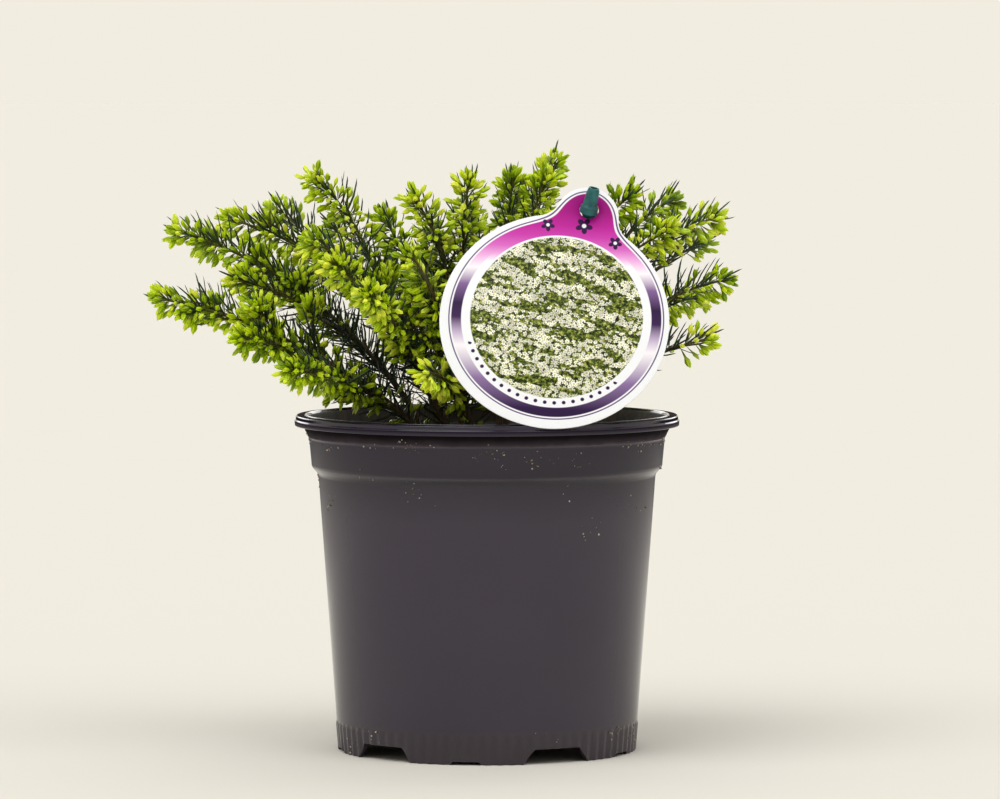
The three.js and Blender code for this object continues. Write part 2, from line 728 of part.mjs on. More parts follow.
function makeLabel() {
  const card = new THREE.ExtrudeGeometry(labelShape(), { depth: LABEL_THICKNESS, bevelEnabled: false });
  return solidOf(card.applyMatrix4(labelMatrix));
}

// Carries geometry made about the origin, with Z along it, to a point and a direction.
function alongZ(point, direction) {
  const z = direction.clone().normalize();
  const y = new THREE.Vector3(0, 1, 0).addScaledVector(z, -z.y).normalize();
  const x = new THREE.Vector3().crossVectors(y, z);
  return new THREE.Matrix4().makeBasis(x, y, z).setPosition(point);
}

// The stake stands in the peat behind the label, and its top is just behind the label's hole.
function stakeLine() {
  const back = -STAKE.behind - STAKE.thickness / 2;
  const top = new THREE.Vector3(0, LABEL_HOLE.up, back).applyMatrix4(labelMatrix);
  const foot = new THREE.Vector3(top.x - 4, top.y - 8, PEAT_EDGE_Z - STAKE.depth);
  return { foot, top, direction: top.clone().sub(foot).normalize() };
}

function makeStake() {
  const { foot, direction, top } = stakeLine();
  const length = top.distanceTo(foot) + 2.4;
  const rod = new THREE.BoxGeometry(STAKE.width, STAKE.thickness, length);
  rod.translate(0, 0, length / 2).applyMatrix4(alongZ(foot, direction));
  const through = new THREE.CylinderGeometry(PEG.neckRadius, PEG.neckRadius, 4, 8);
  through.rotateX(Math.PI / 2).translate(0, LABEL_HOLE.up, 0.2).applyMatrix4(labelMatrix);
  const head = new THREE.CylinderGeometry(PEG.topRadius, PEG.headRadius, PEG.length, 8);
  head.translate(0, PEG.length / 2 - 1.6, 0).rotateX(degrees(PEG.tiltDeg));
  head.translate(0, LABEL_HOLE.up, LABEL_THICKNESS + 1.9).applyMatrix4(labelMatrix);
  return solidOf(rod).add(solidOf(through)).add(solidOf(head));
}

// The whole object

const material = (color, roughness) => new THREE.MeshStandardMaterial({ color, roughness, metalness: 0 });
const potPlastic = material(0x2b292c, 0.45);
const peatBrown = material(0x2a1e16, 1);
const foliageGreen = material(0x7fa51c, 0.6);
const labelCard = material(0xf7f2f7, 0.35);
const stakeGreen = material(0x1f5a55, 0.4);

const heath = new THREE.Group();

function addPiece(name, solid, surface) {
  const mesh = new THREE.Mesh(geometryOf(solid), surface);
  mesh.name = name;
  heath.add(mesh);
}

addPiece("pot", makePot(), potPlastic);
addPiece("peat", makePeat(), peatBrown);
addPiece("label", makeLabel(), labelCard);
addPiece("label_stake", makeStake(), stakeGreen);
for (const plan of planBranches()) addPiece(plan.name, makeBranch(plan), foliageGreen);

export default heath;
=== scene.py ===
"""A potted winter heath: a black nursery pot, dark peat, leafy shoots with green buds, and a hung label."""
from math import asin, atan2, cos, degrees, hypot, pi, radians, sin, sqrt, tau

import bpy
import numpy as np
from mathutils import Matrix, Vector


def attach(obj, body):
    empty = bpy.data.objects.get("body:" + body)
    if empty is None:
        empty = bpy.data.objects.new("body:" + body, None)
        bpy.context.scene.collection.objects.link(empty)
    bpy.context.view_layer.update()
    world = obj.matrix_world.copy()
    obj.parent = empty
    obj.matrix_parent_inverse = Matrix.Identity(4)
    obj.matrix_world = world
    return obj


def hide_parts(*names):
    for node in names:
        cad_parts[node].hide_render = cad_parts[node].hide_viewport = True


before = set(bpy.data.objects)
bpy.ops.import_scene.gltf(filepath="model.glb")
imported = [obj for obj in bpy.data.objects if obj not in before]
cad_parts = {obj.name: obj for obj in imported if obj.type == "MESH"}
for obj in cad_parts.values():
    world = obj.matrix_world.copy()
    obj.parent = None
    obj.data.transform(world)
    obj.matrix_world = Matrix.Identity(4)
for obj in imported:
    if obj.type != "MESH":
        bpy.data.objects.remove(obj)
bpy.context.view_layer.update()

# Lengths are in millimetres and turned into metres with MM. Materials read metres.
MM = 0.001
rng = np.random.default_rng(23)

# The photograph's view: a long lens, two metres away, looking a little down.
CAMERA_PLACE = (4.4, -2000.0, 233.0)
CAMERA_PITCH_DEG = 3.28
CAMERA_LENS = 213.4
SENSOR_WIDTH = 36.0

# Light and surroundings
BACKDROP = (0.9, 0.862, 0.778, 1.0)
OVERHEAD = (0.36, 0.355, 0.35, 1.0)
FLOOR = (0.801, 0.777, 0.7175, 1.0)
FLOOR_RADIUS_M = 30
SURROUND_RADIUS_M = 0.4
SURROUND_GROWTH = 24
# Each sun's turn and height in degrees, and its power
SUNS = ((-38, 58, 1.25), (52, 50, 0.6), (172, 60, 0.5))
SUN_WIDTH_DEG = 45
BACK_LIGHT_PLACE_M = (-0.1, 1.7, 0.61)
BACK_LIGHT_SIZE_M = (2.6, 0.46)
BACK_LIGHT_POWER = 9
GAMMA = 0.88

# Pot
RIM_RADIUS = 65.0
POT_HEIGHT = 113.3
LIP_Z = POT_HEIGHT - 3.5
WALL = 1.2
BODY_BOTTOM_RADIUS = 51.0
BODY_TOP_RADIUS = 57.0
BAND_RADIUS = 59.5
BAND_BOTTOM_Z = 95.9
BAND_TOP_Z = 105.4
STEP_Z = BAND_BOTTOM_Z - 2.4
NECK_RADIUS = 62.0
RIM_INNER_RADIUS = 60.9
FOOT_RADIUS = 50.2
FOOT_HEIGHT = 10.3
FLOOR_Z = 5.0
DIMPLE_RADIUS = 12.0
RIB_COUNT = 80
RIB_DEPTH = 0.5
NOTCH_COUNT = 5
FIRST_NOTCH_DEG = 28.0
# A notch's height and its widths below and above, then a slot's width, length and distance from the middle
BIG_NOTCH = (5.0, 26.0, 17.0)
SMALL_NOTCH = (1.1, 11.0, 9.0)
DRAIN_SLOT = (9.0, 5.0, 42.0)
# Heights of the painted highlight lines on the ledges in metres, and how pale they are
LEDGE_HIGHLIGHTS = ((0.0951, 0.35), (0.1062, 0.6))

# Peat, and what lies on it
PEAT_EDGE_Z = 104.0
PEAT_MOUND = 3.6
PEAT_RELIEF = 0.7
PEAT_RADIUS = 57.6
CRUMB_COUNT = 2300
PALE_SHARE = 0.025
SPECK_CLUSTERS = 70
FALLEN_COUNT = 420

# Label and stake
LABEL_RADIUS = 37.9
LABEL_THICKNESS = 0.6
LABEL_LEAN_DEG = 24.0
LABEL_TURN_DEG = 16.5
LABEL_CENTRE = (22.3, -47.4, 146.9)
TAB_RADIUS = 10.5
TAB_TOP = 49.2
TAB_FILLET = 8.0
LABEL_HOLE_RADIUS = 3.2
LABEL_HOLE_UP = 41.2
PEG_TILT_DEG = 38.0
STAKE_WIDTH = 4.4
STAKE_THICKNESS = 2.2
STAKE_BEHIND = 0.5
STAKE_DEPTH = 30.0

# The label's print, measured from the card's middle
PRINT_MIDDLE = (0.4, 0.9)
PRINT_RADIUS = 35.6
PRINT_TAB = (39.0, 8.8)
WINDOW_UP = 1.3
WINDOW_RADIUS = 28.5
BLOSSOMS = ((-11.6, 32.2, 2.3), (0.0, 35.2, 2.9), (11.6, 32.2, 2.3))
DOTS_IN_TURN = 60
DOT_RING = 29.7
DOT_RADIUS = 0.62

# Shoots
WHORL_STEP = 1.6
NEEDLES_IN_WHORL = 4
BUDS_IN_WHORL = 13
BUDS_IN_TUFT = 13
NEEDLE_LENGTH = 11.2
BUD_LENGTH = 7.4
NEEDLE_LEAN_DEG = 54
NEEDLE_RISE = 0.14
BUD_LEAN_DEG = 62
BUD_DROOP = 0.36
TIP_TUFT = 4.0
STUMP_RADIUS = 1.25
STUMP_TOP_RADIUS = 0.72
SHOOT_RADIUS = 0.55
TWIG_RADIUS = 0.45
TIP_RADIUS = 0.35
BARE_AT_FRONT, BARE_AT_BACK = 1.5, 11
YOUNG_FROM, YOUNG_OVER = 45, 40
HOLE_DEPTH = 11.0
UP = np.array((0.0, 0.0, 1.0))

# Each branch: where it stands in the peat, then its main shoot's tip, slope at the tip, rise from the peat and
# lift, then its side shoots, each with its share along the main shoot, its tip and its slope, and last its habit:
# where its buds begin along a shoot, how leafy it is inside, and its counts of spurs there and of outer twigs.
BRANCHES = {
    "left_low": ((-21, -11), (-113, -22, 154), 10, 55, 14,
        [(0.16, (-67, -50, 131), 4), (0.42, (-85, -37, 141), 5)], (-0.05, 0.8, 4, 5)),
    "left_middle": ((-21, 5), (-108, 2, 176), 15, 62, 22,
        [(0.2, (-84, 34, 158), 10), (0.45, (-88, -9, 160), 12)], (0.3, 0.95, 2, 3)),
    "left_high": ((-13, 14), (-92, 20, 180), 15, 70, 34,
        [(0.3, (-61, 8, 194), 35), (0.55, (-76, 40, 184), 25)], (0.34, 0.5, 1, 1)),
    "front_left": ((-13, -11), (-62, -26, 174), 22, 62, 26,
        [(0.22, (-40, -62, 157), 15), (0.5, (-53, -43, 168), 30)], (0.3, 0.85, 1, 1)),
    "front_middle": ((-4, -20), (-27, -46, 172), 45, 60, 24,
        [(0.15, (-20, -63, 131), 5), (0.35, (-37, -35, 152), 25)], (0.0, 0.8, 4, 2)),
    "centre": ((-9, 2), (-6, -8, 196), 72, 86, 40,
        [(0.45, (-26, -16, 188), 40), (0.25, (-24, 10, 170), 50)], (None, 0.8, 2, 1)),
    "centre_left": ((-17, 25), (-38, 34, 183), 55, 75, 34,
        [(0.25, (-66, 62, 160), 15), (0.5, (-56, 44, 178), 35)], (0.36, 0.45, 1, 0)),
    "centre_right": ((4, 8), (9, 16, 197), 80, 86, 40,
        [(0.5, (22, 2, 196), 60), (0.25, (33, 12, 174), 45)], (0.4, 0.9, 2, 1)),
    "back_high": ((6, 23), (24, 40, 202), 65, 82, 44,
        [(0.3, (-8, 68, 182), 40), (0.5, (8, 60, 192), 55)], (0.42, 0.9, 2, 1)),
    "back_low": ((-6, 32), (-22, 92, 158), 12, 58, 20,
        [(0.18, (16, 86, 142), 8), (0.4, (-46, 82, 150), 12)], (0.36, 0.5, 1, 1)),
    "right_high": ((16, 5), (52, 2, 190), 38, 76, 36,
        [(0.3, (66, 34, 187), 25), (0.5, (64, -10, 178), 30)], (0.44, 0.6, 1, 0)),
    "right_middle": ((22, -4), (81, 6, 181), 18, 68, 32,
        [(0.25, (84, -20, 160), 8), (0.5, (76, 24, 172), 20)], (0.62, 0.35, 1, 0)),
    "right_low": ((25, -14), (76, -40, 141), 10, 55, 16,
        [(0.3, (40, -30, 162), 50)], (0.75, 0.3, 1, 0)),
    "back_right": ((20, 21), (48, 76, 168), 20, 60, 26,
        [(0.2, (78, 50, 152), 8), (0.45, (36, 86, 156), 20)], (None, 0.8, 2, 1)),
}
# Where buds begin on a shoot whose branch leaves it open, and on a spur. Then where they begin and how leafy it is
# for a shaded shoot at the back left, and for an outer twig.
USUAL_BLOOM = (0.18, 0.42)
SPUR_BLOOM = 0.5
SHADED = (0.62, 0.55)
OUTER_TWIG = (-0.5, 0.2)


# Small helpers for modelling by hand

def nothing_selected():
    bpy.ops.object.select_all(action="DESELECT")


def take(*objects):
    """Selects these objects alone and makes the first one active."""
    nothing_selected()
    for obj in objects:
        obj.select_set(True)
    bpy.context.view_layer.objects.active = objects[0]


def named(name):
    """The object just made, under its name."""
    obj = bpy.context.object
    obj.name = name
    obj.data.name = name
    return obj


def add(command, name, **settings):
    """A new object, from one of Blender's commands that add one."""
    nothing_selected()
    command(**settings)
    return named(name)


def join(objects, name):
    take(*objects)
    bpy.ops.object.join()
    return named(name)


def mode(name):
    bpy.ops.object.mode_set(mode=name)


def select(action="SELECT"):
    bpy.ops.mesh.select_all(action=action)


def edit(obj, wanted=None, elements=()):
    """Opens an object for editing, with all of it selected, or only those edges or faces that are wanted."""
    take(obj)
    mode("EDIT")
    select("DESELECT" if wanted else "SELECT")
    if wanted:
        mode("OBJECT")
        for element in elements:
            element.select = wanted(element)
        mode("EDIT")


def close(weld=False):
    """Turns all faces outwards and ends the editing."""
    select()
    if weld:
        bpy.ops.mesh.remove_doubles(threshold=0.00001)
    bpy.ops.mesh.normals_make_consistent(inside=False)
    mode("OBJECT")


def pull(distance):
    bpy.ops.mesh.extrude_region_move(TRANSFORM_OT_translate={"value": (0, 0, distance)})


def coords(obj):
    values = np.empty(len(obj.data.vertices) * 3)
    obj.data.vertices.foreach_get("co", values)
    return values.reshape(-1, 3)


def set_coords(obj, values):
    obj.data.vertices.foreach_set("co", np.asarray(values, float).ravel())
    obj.data.update()


def loop_object(name, points):
    """A closed loop of edges through the given points."""
    obj = add(bpy.ops.mesh.primitive_circle_add, name, vertices=len(points), radius=1)
    set_coords(obj, np.array(points, float) * MM)
    return obj


def spun(name, profile, steps):
    """A closed profile of (radius, height) points, spun about the upright axis."""
    obj = loop_object(name, [(r, 0, z) for r, z in profile])

    def on_axis(edge):
        return all(abs(obj.data.vertices[v].co.x) < 1e-7 for v in edge.vertices)

    # An edge that lies on the axis is cut away before the profile is spun.
    edit(obj, on_axis, obj.data.edges)
    bpy.ops.mesh.select_mode(type="EDGE")
    bpy.ops.mesh.delete(type="EDGE")
    bpy.ops.mesh.select_mode(type="VERT")
    select()
    bpy.ops.mesh.spin(steps=steps, angle=tau, center=(0, 0, 0), axis=(0, 0, 1))
    close(weld=True)
    return obj


def into_place(obj, matrix=None):
    if matrix:
        obj.matrix_world = matrix
    take(obj)
    bpy.ops.object.transform_apply(location=True, rotation=True, scale=True)
    return obj


def block(name, size, centre):
    """A box of a size, about its centre."""
    obj = add(bpy.ops.mesh.primitive_cube_add, name, size=1)
    obj.scale = [v * MM for v in size]
    obj.location = [v * MM for v in centre]
    return into_place(obj)


def apply_modifiers(obj):
    take(obj)
    for modifier in list(obj.modifiers):
        bpy.ops.object.modifier_apply(modifier=modifier.name)


def soften(obj, width, over_degrees):
    """Bevels the edges that are sharper than an angle."""
    bevel = obj.modifiers.new("edges", "BEVEL")
    bevel.width = width * MM
    bevel.segments = 2
    bevel.limit_method = "ANGLE"
    bevel.angle_limit = radians(over_degrees)
    apply_modifiers(obj)


def give(obj, material, smooth=None, stands_for=None):
    """Its material, body and slot, smooth shading under an angle, and the node that it replaces."""
    if smooth:
        take(obj)
        bpy.ops.object.shade_smooth_by_angle(angle=radians(smooth))
    obj.data.materials.clear()
    obj.data.materials.append(material)
    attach(obj, "root")
    if stands_for:
        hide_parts(stands_for)


# Materials

def srgb(*levels):
    """An sRGB colour of 0 to 255 as the linear values that sockets hold."""
    linear = []
    for level in levels:
        c = level / 255
        linear.append(c / 12.92 if c <= 0.04045 else ((c + 0.055) / 1.055) ** 2.4)
    return (*linear, 1.0)


def grey(value):
    return (value, value, value, 1)


class Tree:
    """A node tree in the making. Each method adds a node and gives back the output that is used of it."""

    def __init__(self, tree):
        self.tree = tree

    def put(self, value, socket):
        """Sets a number or colour on a socket, or links another node's output to it."""
        if isinstance(value, (tuple, float, int)):
            socket.default_value = value
        else:
            self.tree.links.new(value, socket)

    def outputs(self, kind, inputs=None, **settings):
        made = self.tree.nodes.new("ShaderNode" + kind)
        for key, value in settings.items():
            setattr(made, key, value)
        for key, value in (inputs or {}).items():
            self.put(value, made.inputs[key])
        return made.outputs

    def coords(self, scale=(1, 1, 1)):
        """Object coordinates, stretched by a Mapping node."""
        place = self.outputs("TexCoord")["Object"]
        return self.mapped(place, scale)

    def mapped(self, vector, scale, turn=0.0):
        inputs = {"Vector": vector, "Rotation": (0, 0, turn), "Scale": scale}
        return self.outputs("Mapping", inputs)["Vector"]

    def parts(self, value, kind="XYZ"):
        """The three parts of a vector or a colour."""
        return list(self.outputs("Separate" + kind, {0: value}))

    def tone(self):
        """The three values of the tone attribute that a mesh's points carry."""
        return self.parts(self.outputs("Attribute", attribute_name="tone")["Color"], "Color")

    def noise(self, vector, scale, detail=4.0, roughness=0.55):
        inputs = {"Vector": vector, "Scale": scale, "Detail": detail, "Roughness": roughness}
        return self.outputs("TexNoise", inputs)["Fac"]

    def ramp(self, value, stops):
        """A colour ramp, each stop a position with three sRGB levels or with one linear colour."""
        made = self.tree.nodes.new("ShaderNodeValToRGB")
        elements = made.color_ramp.elements
        while len(elements) < len(stops):
            elements.new(0.5)
        for element, (position, *color) in zip(elements, stops):
            element.position = position
            element.color = srgb(*color) if len(color) == 3 else color[0]
        self.put(value, made.inputs["Fac"])
        return made.outputs["Color"]

    def spread(self, value, from_min, from_max, to_min=0.0, to_max=1.0):
        ends = {"From Min": from_min, "From Max": from_max, "To Min": to_min, "To Max": to_max}
        return self.outputs("MapRange", {"Value": value, **ends})["Result"]

    def mix(self, factor, first, second, blend="MIX"):
        inputs = {0: factor, 6: first, 7: second}
        return self.outputs("Mix", inputs, data_type="RGBA", blend_type=blend)[2]

    def math(self, operation, *values, clamp=False):
        return self.outputs("Math", dict(enumerate(values)), operation=operation, use_clamp=clamp)[0]

    def plus(self, first, second):
        return self.math("ADD", first, second)

    def minus(self, first, second):
        return self.math("SUBTRACT", first, second)

    def times(self, first, second):
        return self.math("MULTIPLY", first, second)

    def length(self, x, y):
        return self.math("SQRT", self.plus(self.times(x, x), self.times(y, y)))


class Look(Tree):
    """A material in the making, with its Principled shader's fixed sockets set."""

    def __init__(self, name, **sockets):
        self.material = bpy.data.materials.new(name)
        self.material.use_nodes = True
        super().__init__(self.material.node_tree)
        for key, value in sockets.items():
            self.set(key.replace("_", " "), value)

    def set(self, socket, value):
        self.put(value, self.tree.nodes["Principled BSDF"].inputs[socket])

    def finished(self, color, height=None, strength=0.0, distance=0.0):
        """The material, with its colour and, over a height, its bump."""
        self.set("Base Color", color)
        if height is not None:
            inputs = {"Height": height, "Strength": strength, "Distance": distance}
            self.set("Normal", self.outputs("Bump", inputs)["Normal"])
        return self.material


def pot_material():
    """Satin black plastic, faintly cloudy and finely scuffed, with dried peat dust on the upper bands and foot,
    and painted shade and highlights.
    """
    look = Look("satin_black_pot", Specular_IOR_Level=0.7)
    where = look.coords()
    x, y, z = look.parts(where)
    clouds = look.noise(where, 35, 5)
    body = look.ramp(clouds, [(0.3, 52, 45, 60), (0.7, 56, 48, 64)])
    stretched = look.coords((1, 1, 16))
    scuffs = look.noise(stretched, 150, 6, 0.7)
    scuffed = look.mix(look.spread(scuffs, 0.66, 0.78, 0, 0.2), body, srgb(84, 78, 84))
    high = look.spread(z, 0.085, 0.104)
    low = look.spread(z, 0.012, 0.002, 0, 0.75)
    zones = look.plus(look.plus(high, low), 0.14)
    dust = look.spread(look.noise(where, 900, 3), 0.56, 0.72)
    patches = look.spread(look.noise(where, 60, 3), 0.42, 0.68)
    film = look.times(look.times(dust, patches), zones)
    dusty = look.mix(look.times(film, 0.06), scuffed, srgb(128, 108, 94))

    # Painted shade: the plastic is darker and more purple on the upper band and just below its step, where the rim
    # and the step shade it. Two ledges get painted highlight lines.
    shade = look.ramp(look.spread(z, 0, 0.108), [
        (0.095, (1.02, 0.98, 0.82, 1)), (0.105, (0.96, 0.98, 0.98, 1)), (0.28, (0.86, 0.92, 0.92, 1)),
        (0.52, (0.96, 0.96, 1, 1)), (0.74, (1, 1, 1, 1)), (0.86, (0.5, 0.47, 0.56, 1)),
        (0.896, (0.22, 0.12, 0.36, 1)), (0.979, (0.38, 0.25, 0.52, 1)),
    ])
    dust_and_painted_light = look.mix(1.0, dusty, shade, "MULTIPLY")
    # Painted highlights: a pale line along each ledge, broken up by noise.
    highlight_breaks = look.spread(look.noise(stretched, 60, 5), 0.3, 0.6, 0.3, 0.9)
    for ledge, strength in LEDGE_HIGHLIGHTS:
        away = look.math("ABSOLUTE", look.minus(z, ledge))
        line = look.times(look.spread(away, 0.0008, 0.0002, 0, strength), highlight_breaks)
        dust_and_painted_light = look.mix(line, dust_and_painted_light, srgb(104, 98, 104))

    # The wall's inside is damp and smeared with peat.
    wall = look.spread(z, 0.1054, 0.1074, 0.0593, 0.0605)
    within = look.times(look.math("LESS_THAN", look.length(x, y), wall), look.math("GREATER_THAN", z, 0.1035))
    smeared = look.ramp(look.noise(where, 240, 5), [(0.35, 36, 30, 24), (0.7, 84, 70, 54)])
    color = look.mix(within, dust_and_painted_light, smeared)

    glossy = look.ramp(look.spread(z, 0.09, 0.112), [
        (0.0, grey(0)), (0.25, grey(0.04)), (0.85, grey(0.04)), (0.9, grey(0.06)),
    ])
    rough = look.minus(look.spread(clouds, 0.3, 0.7, 0.09, 0.112), glossy)
    rough = look.math("ADD", rough, look.times(film, 0.04), clamp=True)
    rough = look.math("ADD", rough, look.times(within, 0.4), clamp=True)
    look.set("Roughness", rough)
    return look.finished(color, look.plus(look.noise(where, 1800, 2), scuffs), 0.02, 0.0002)


def painted_shade_film_material():
    """A matt film of painted shade in the recess under the lip, darkest where the lip shades it."""
    look = Look("painted_shade_film", Roughness=0.9, Specular_IOR_Level=0.08)
    where = look.coords()
    height = look.parts(where)[2]
    uneven = look.times(look.noise(where, 160, 4), 0.0016)
    greys = [(0.0, 96, 90, 96), (0.3, 66, 59, 65), (0.75, 34, 28, 33), (1.0, 24, 19, 22)]
    # Painted shade: near black right under the lip and on the rim's top, paler down towards the band.
    color = look.ramp(look.spread(look.plus(height, uneven), 0.1064, 0.1102), greys)
    return look.finished(color, look.noise(where, 1400, 4), 0.2, 0.0002)


def peat_material():
    """Damp peat: dark brown with paler fibres. The tone holds a crumb's own draw and its paleness."""
    look = Look("damp_peat", Specular_IOR_Level=0.25)
    where = look.coords()
    own, pale, _ = look.tone()
    lumps = look.noise(where, 260, 6, 0.65)
    brown = look.ramp(lumps, [(0.25, 26, 19, 15), (0.5, 54, 39, 29), (0.75, 92, 67, 47)])
    crumb = look.mix(look.times(own, 0.55), brown, srgb(98, 70, 47))
    look.set("Roughness", look.spread(lumps, 0.3, 0.7, 0.75, 0.98))
    color = look.mix(pale, crumb, srgb(214, 208, 194))
    return look.finished(color, look.noise(where, 1500, 5), 0.6, 0.0004)


def dry_needle_material():
    """Fallen needles: straw to dark brown, each with its own draw, faintly streaked."""
    look = Look("dry_needles", Roughness=0.8, Specular_IOR_Level=0.2)
    browns = [(0.0, 58, 42, 30), (0.6, 116, 88, 58), (1.0, 168, 140, 98)]
    own = look.ramp(look.tone()[0], browns)
    streaks = look.noise(look.coords(), 900, 4)
    shade = look.ramp(streaks, [(0.3, (0.7, 0.68, 0.64, 1)), (0.7, (1.1, 1.1, 1.08, 1))])
    return look.finished(look.mix(1.0, own, shade, "MULTIPLY"), streaks, 0.3, 0.0002)


def bark_material():
    """Thin peeling bark: grey-brown low down, and green towards the young tips."""
    look = Look("peeling_bark", Specular_IOR_Level=0.3, Roughness=0.75)
    flakes = look.noise(look.coords((1, 1, 0.3)), 900, 5, 0.7)
    old = look.ramp(flakes, [(0.3, 48, 38, 29), (0.7, 112, 90, 66)])
    young = look.ramp(flakes, [(0.3, 84, 78, 26), (0.7, 120, 118, 44)])
    return look.finished(look.mix(look.tone()[1], old, young), flakes, 0.5, 0.0003)


def leaf_material(name, dark, middle, light, base, old, roughness, glow):
    """Needles or buds. The tone holds each one's draw (on buds with painted sepal highlights and shade added), its
    length from 0 to 1, and its place on the shoot.
    """
    look = Look(name, Roughness=roughness, Specular_IOR_Level=0.45, Subsurface_Weight=glow,
                Subsurface_Scale=0.0012, Subsurface_Radius=(0.7, 1.0, 0.2))
    draw, length, place = look.tone()
    own = look.ramp(draw, [(0.0, srgb(*dark)), (0.5, srgb(*middle)), (1.0, srgb(*light))])
    aged = look.mix(look.spread(place, 0.6, 0.15, 0, 0.75), own, srgb(*old))
    rooted = look.mix(look.spread(length, 0.3, 0.68), srgb(*base), aged)
    flecks = look.noise(look.coords(), 700, 3)
    shade = look.ramp(flecks, [(0.3, (0.78, 0.8, 0.74, 1)), (0.7, (1.1, 1.08, 1.1, 1))])
    return look.finished(look.mix(1.0, rooted, shade, "MULTIPLY"), flecks, 0.15, 0.0002)


def stake_material():
    """Dark green moulded plastic, a little cloudy."""
    look = Look("dark_green_plastic", Roughness=0.38)
    where = look.coords()
    color = look.ramp(look.noise(where, 300, 4), [(0.3, 26, 84, 86), (0.7, 54, 120, 120)])
    return look.finished(color, look.noise(where, 1600, 2), 0.15, 0.0002)


def label_material():
    """The printed card, drawn in millimetres from its middle: a white edge, a hairline, a band that shades from
    magenta through white to purple, and a round window of small white blossoms on green."""
    look = Look("printed_card", Roughness=0.45, Specular_IOR_Level=0.2)

    def inside(distance, edge, blur=0.12):
        return look.spread(distance, edge + blur, edge - blur)

    def over(color, layers):
        """Lays each paint over the colour so far, where its cover says."""
        for cover, paint in layers:
            color = look.mix(cover, color, paint)
        return color

    def five_petals(x, y):
        """Rises from 0 to 1 and falls again five times round a middle."""
        return look.math("ABSOLUTE", look.math("COSINE", look.times(look.math("ARCTAN2", y, x), 2.5)))

    uv = look.outputs("UVMap", uv_map="print")["UV"]
    x, y = [look.times(look.minus(part, 0.5), 100.0) for part in look.parts(uv)[:2]]
    from_middle = look.minus(x, PRINT_MIDDLE[0])
    disc = look.minus(look.length(from_middle, look.minus(y, PRINT_MIDDLE[1])), PRINT_RADIUS)
    tab = look.minus(look.length(x, look.minus(y, PRINT_TAB[0])), PRINT_TAB[1])
    edge = look.math("SMOOTH_MIN", disc, tab, 15.0)

    # The colours change along a line that leans with the print.
    up = look.plus(look.times(x, -0.24), look.times(y, 0.97))
    bottom, top = -38, 50
    white = srgb(243, 245, 249)
    magenta = [(18, 250, 244, 250), (22, 238, 186, 230), (26, 218, 116, 200), (30, 204, 70, 178),
               (34, 192, 40, 160), (39, 173, 22, 140), (50, 158, 11, 127)]
    purple = [(-38, 48, 26, 68), (-31, 58, 34, 80), (-21, 150, 124, 170), (-10, 248, 244, 250),
              (-5, 196, 178, 208), (0, 70, 42, 92), (5, 56, 30, 78), (12, 140, 108, 160)]

    def heights(stops):
        shares = [((v - bottom) / (top - bottom), *c) for v, *c in stops]
        return look.ramp(look.spread(up, bottom, top), shares)

    low = look.spread(up, 24, 20)
    inner = inside(disc, -4.2)
    color = over(white, [
        (inside(edge, 0.0), srgb(92, 54, 116)), (inside(edge, -0.4), white),
        (inside(edge, -0.95), heights(purple + magenta)), (look.times(inner, low), white),
        (look.times(inner, look.minus(1.0, low)), heights([(bottom, white)] + magenta)),
    ])

    # The window's ground of leaves, then its blossoms in three layers.
    window = look.minus(look.length(from_middle, look.minus(y, WINDOW_UP)), WINDOW_RADIUS)
    picture = look.ramp(look.noise(uv, 70, 6, 0.75), [
        (0.38, 14, 22, 10), (0.46, 50, 64, 24), (0.54, 118, 132, 46), (0.64, 218, 216, 132),
    ])
    slanted = look.mapped(uv, (0.4, 1.15, 1), 0.6)
    groups = look.spread(look.noise(slanted, 22, 3), 0.43, 0.52)
    gleam = look.spread(look.noise(uv, 24, 3), 0.4, 0.6, 0.72, 1.05)
    for scale, turn, share in ((56.0, 0.4, 0.8), (68.0, 1.3, 0.8), (48.0, 2.1, 0.9)):
        spot = look.mapped(uv, (scale, scale, scale), turn)
        inputs = {"Vector": spot, "Scale": 1.0, "Randomness": 0.8}
        cells = look.outputs("TexVoronoi", inputs, voronoi_dimensions="2D", feature="F1")
        away = look.outputs("VectorMath", {0: spot, 1: cells["Position"]}, operation="SUBTRACT")["Vector"]
        reach = look.plus(look.times(five_petals(*look.parts(away)[:2]), 0.2), 0.22)
        chosen = look.parts(cells["Color"], "Color")[0]
        kept = look.math("LESS_THAN", chosen, look.times(groups, share))
        petal_white = look.ramp(cells["Distance"], [
            (0.05, 186, 176, 84), (0.14, 226, 224, 190), (0.3, 252, 252, 244),
        ])
        cover = look.times(inside(look.minus(cells["Distance"], reach), 0.0, 0.03), kept)
        lit = look.outputs("HueSaturation", {"Value": gleam, "Color": petal_white})["Color"]
        picture = look.mix(cover, picture, lit)
    color = over(color, [(inside(window, 0.7), white), (inside(window, 0.0), picture)])

    # Three plain dark blossoms on the upper field, and a dotted line under the window.
    ink = srgb(58, 24, 76)
    for across, height, size in BLOSSOMS:
        spot = (look.minus(x, across), look.minus(y, height))
        reach = look.times(look.plus(look.times(five_petals(*spot), 0.55), 0.45), size)
        far = look.length(*spot)
        color = over(color, [(inside(look.minus(far, reach), 0.0), ink), (inside(far, 0.26 * size), white)])
    around = look.math("ARCTAN2", look.minus(y, PRINT_MIDDLE[1]), from_middle)
    beat = look.minus(look.math("FRACT", look.times(around, DOTS_IN_TURN / tau)), 0.5)
    along = look.times(beat, DOT_RING * tau / DOTS_IN_TURN)
    dots = look.length(along, look.plus(disc, PRINT_RADIUS - DOT_RING))
    lower = look.math("LESS_THAN", y, -15.0)
    return look.finished(over(color, [(look.times(inside(dots, DOT_RADIUS), lower), ink)]))


# Pot

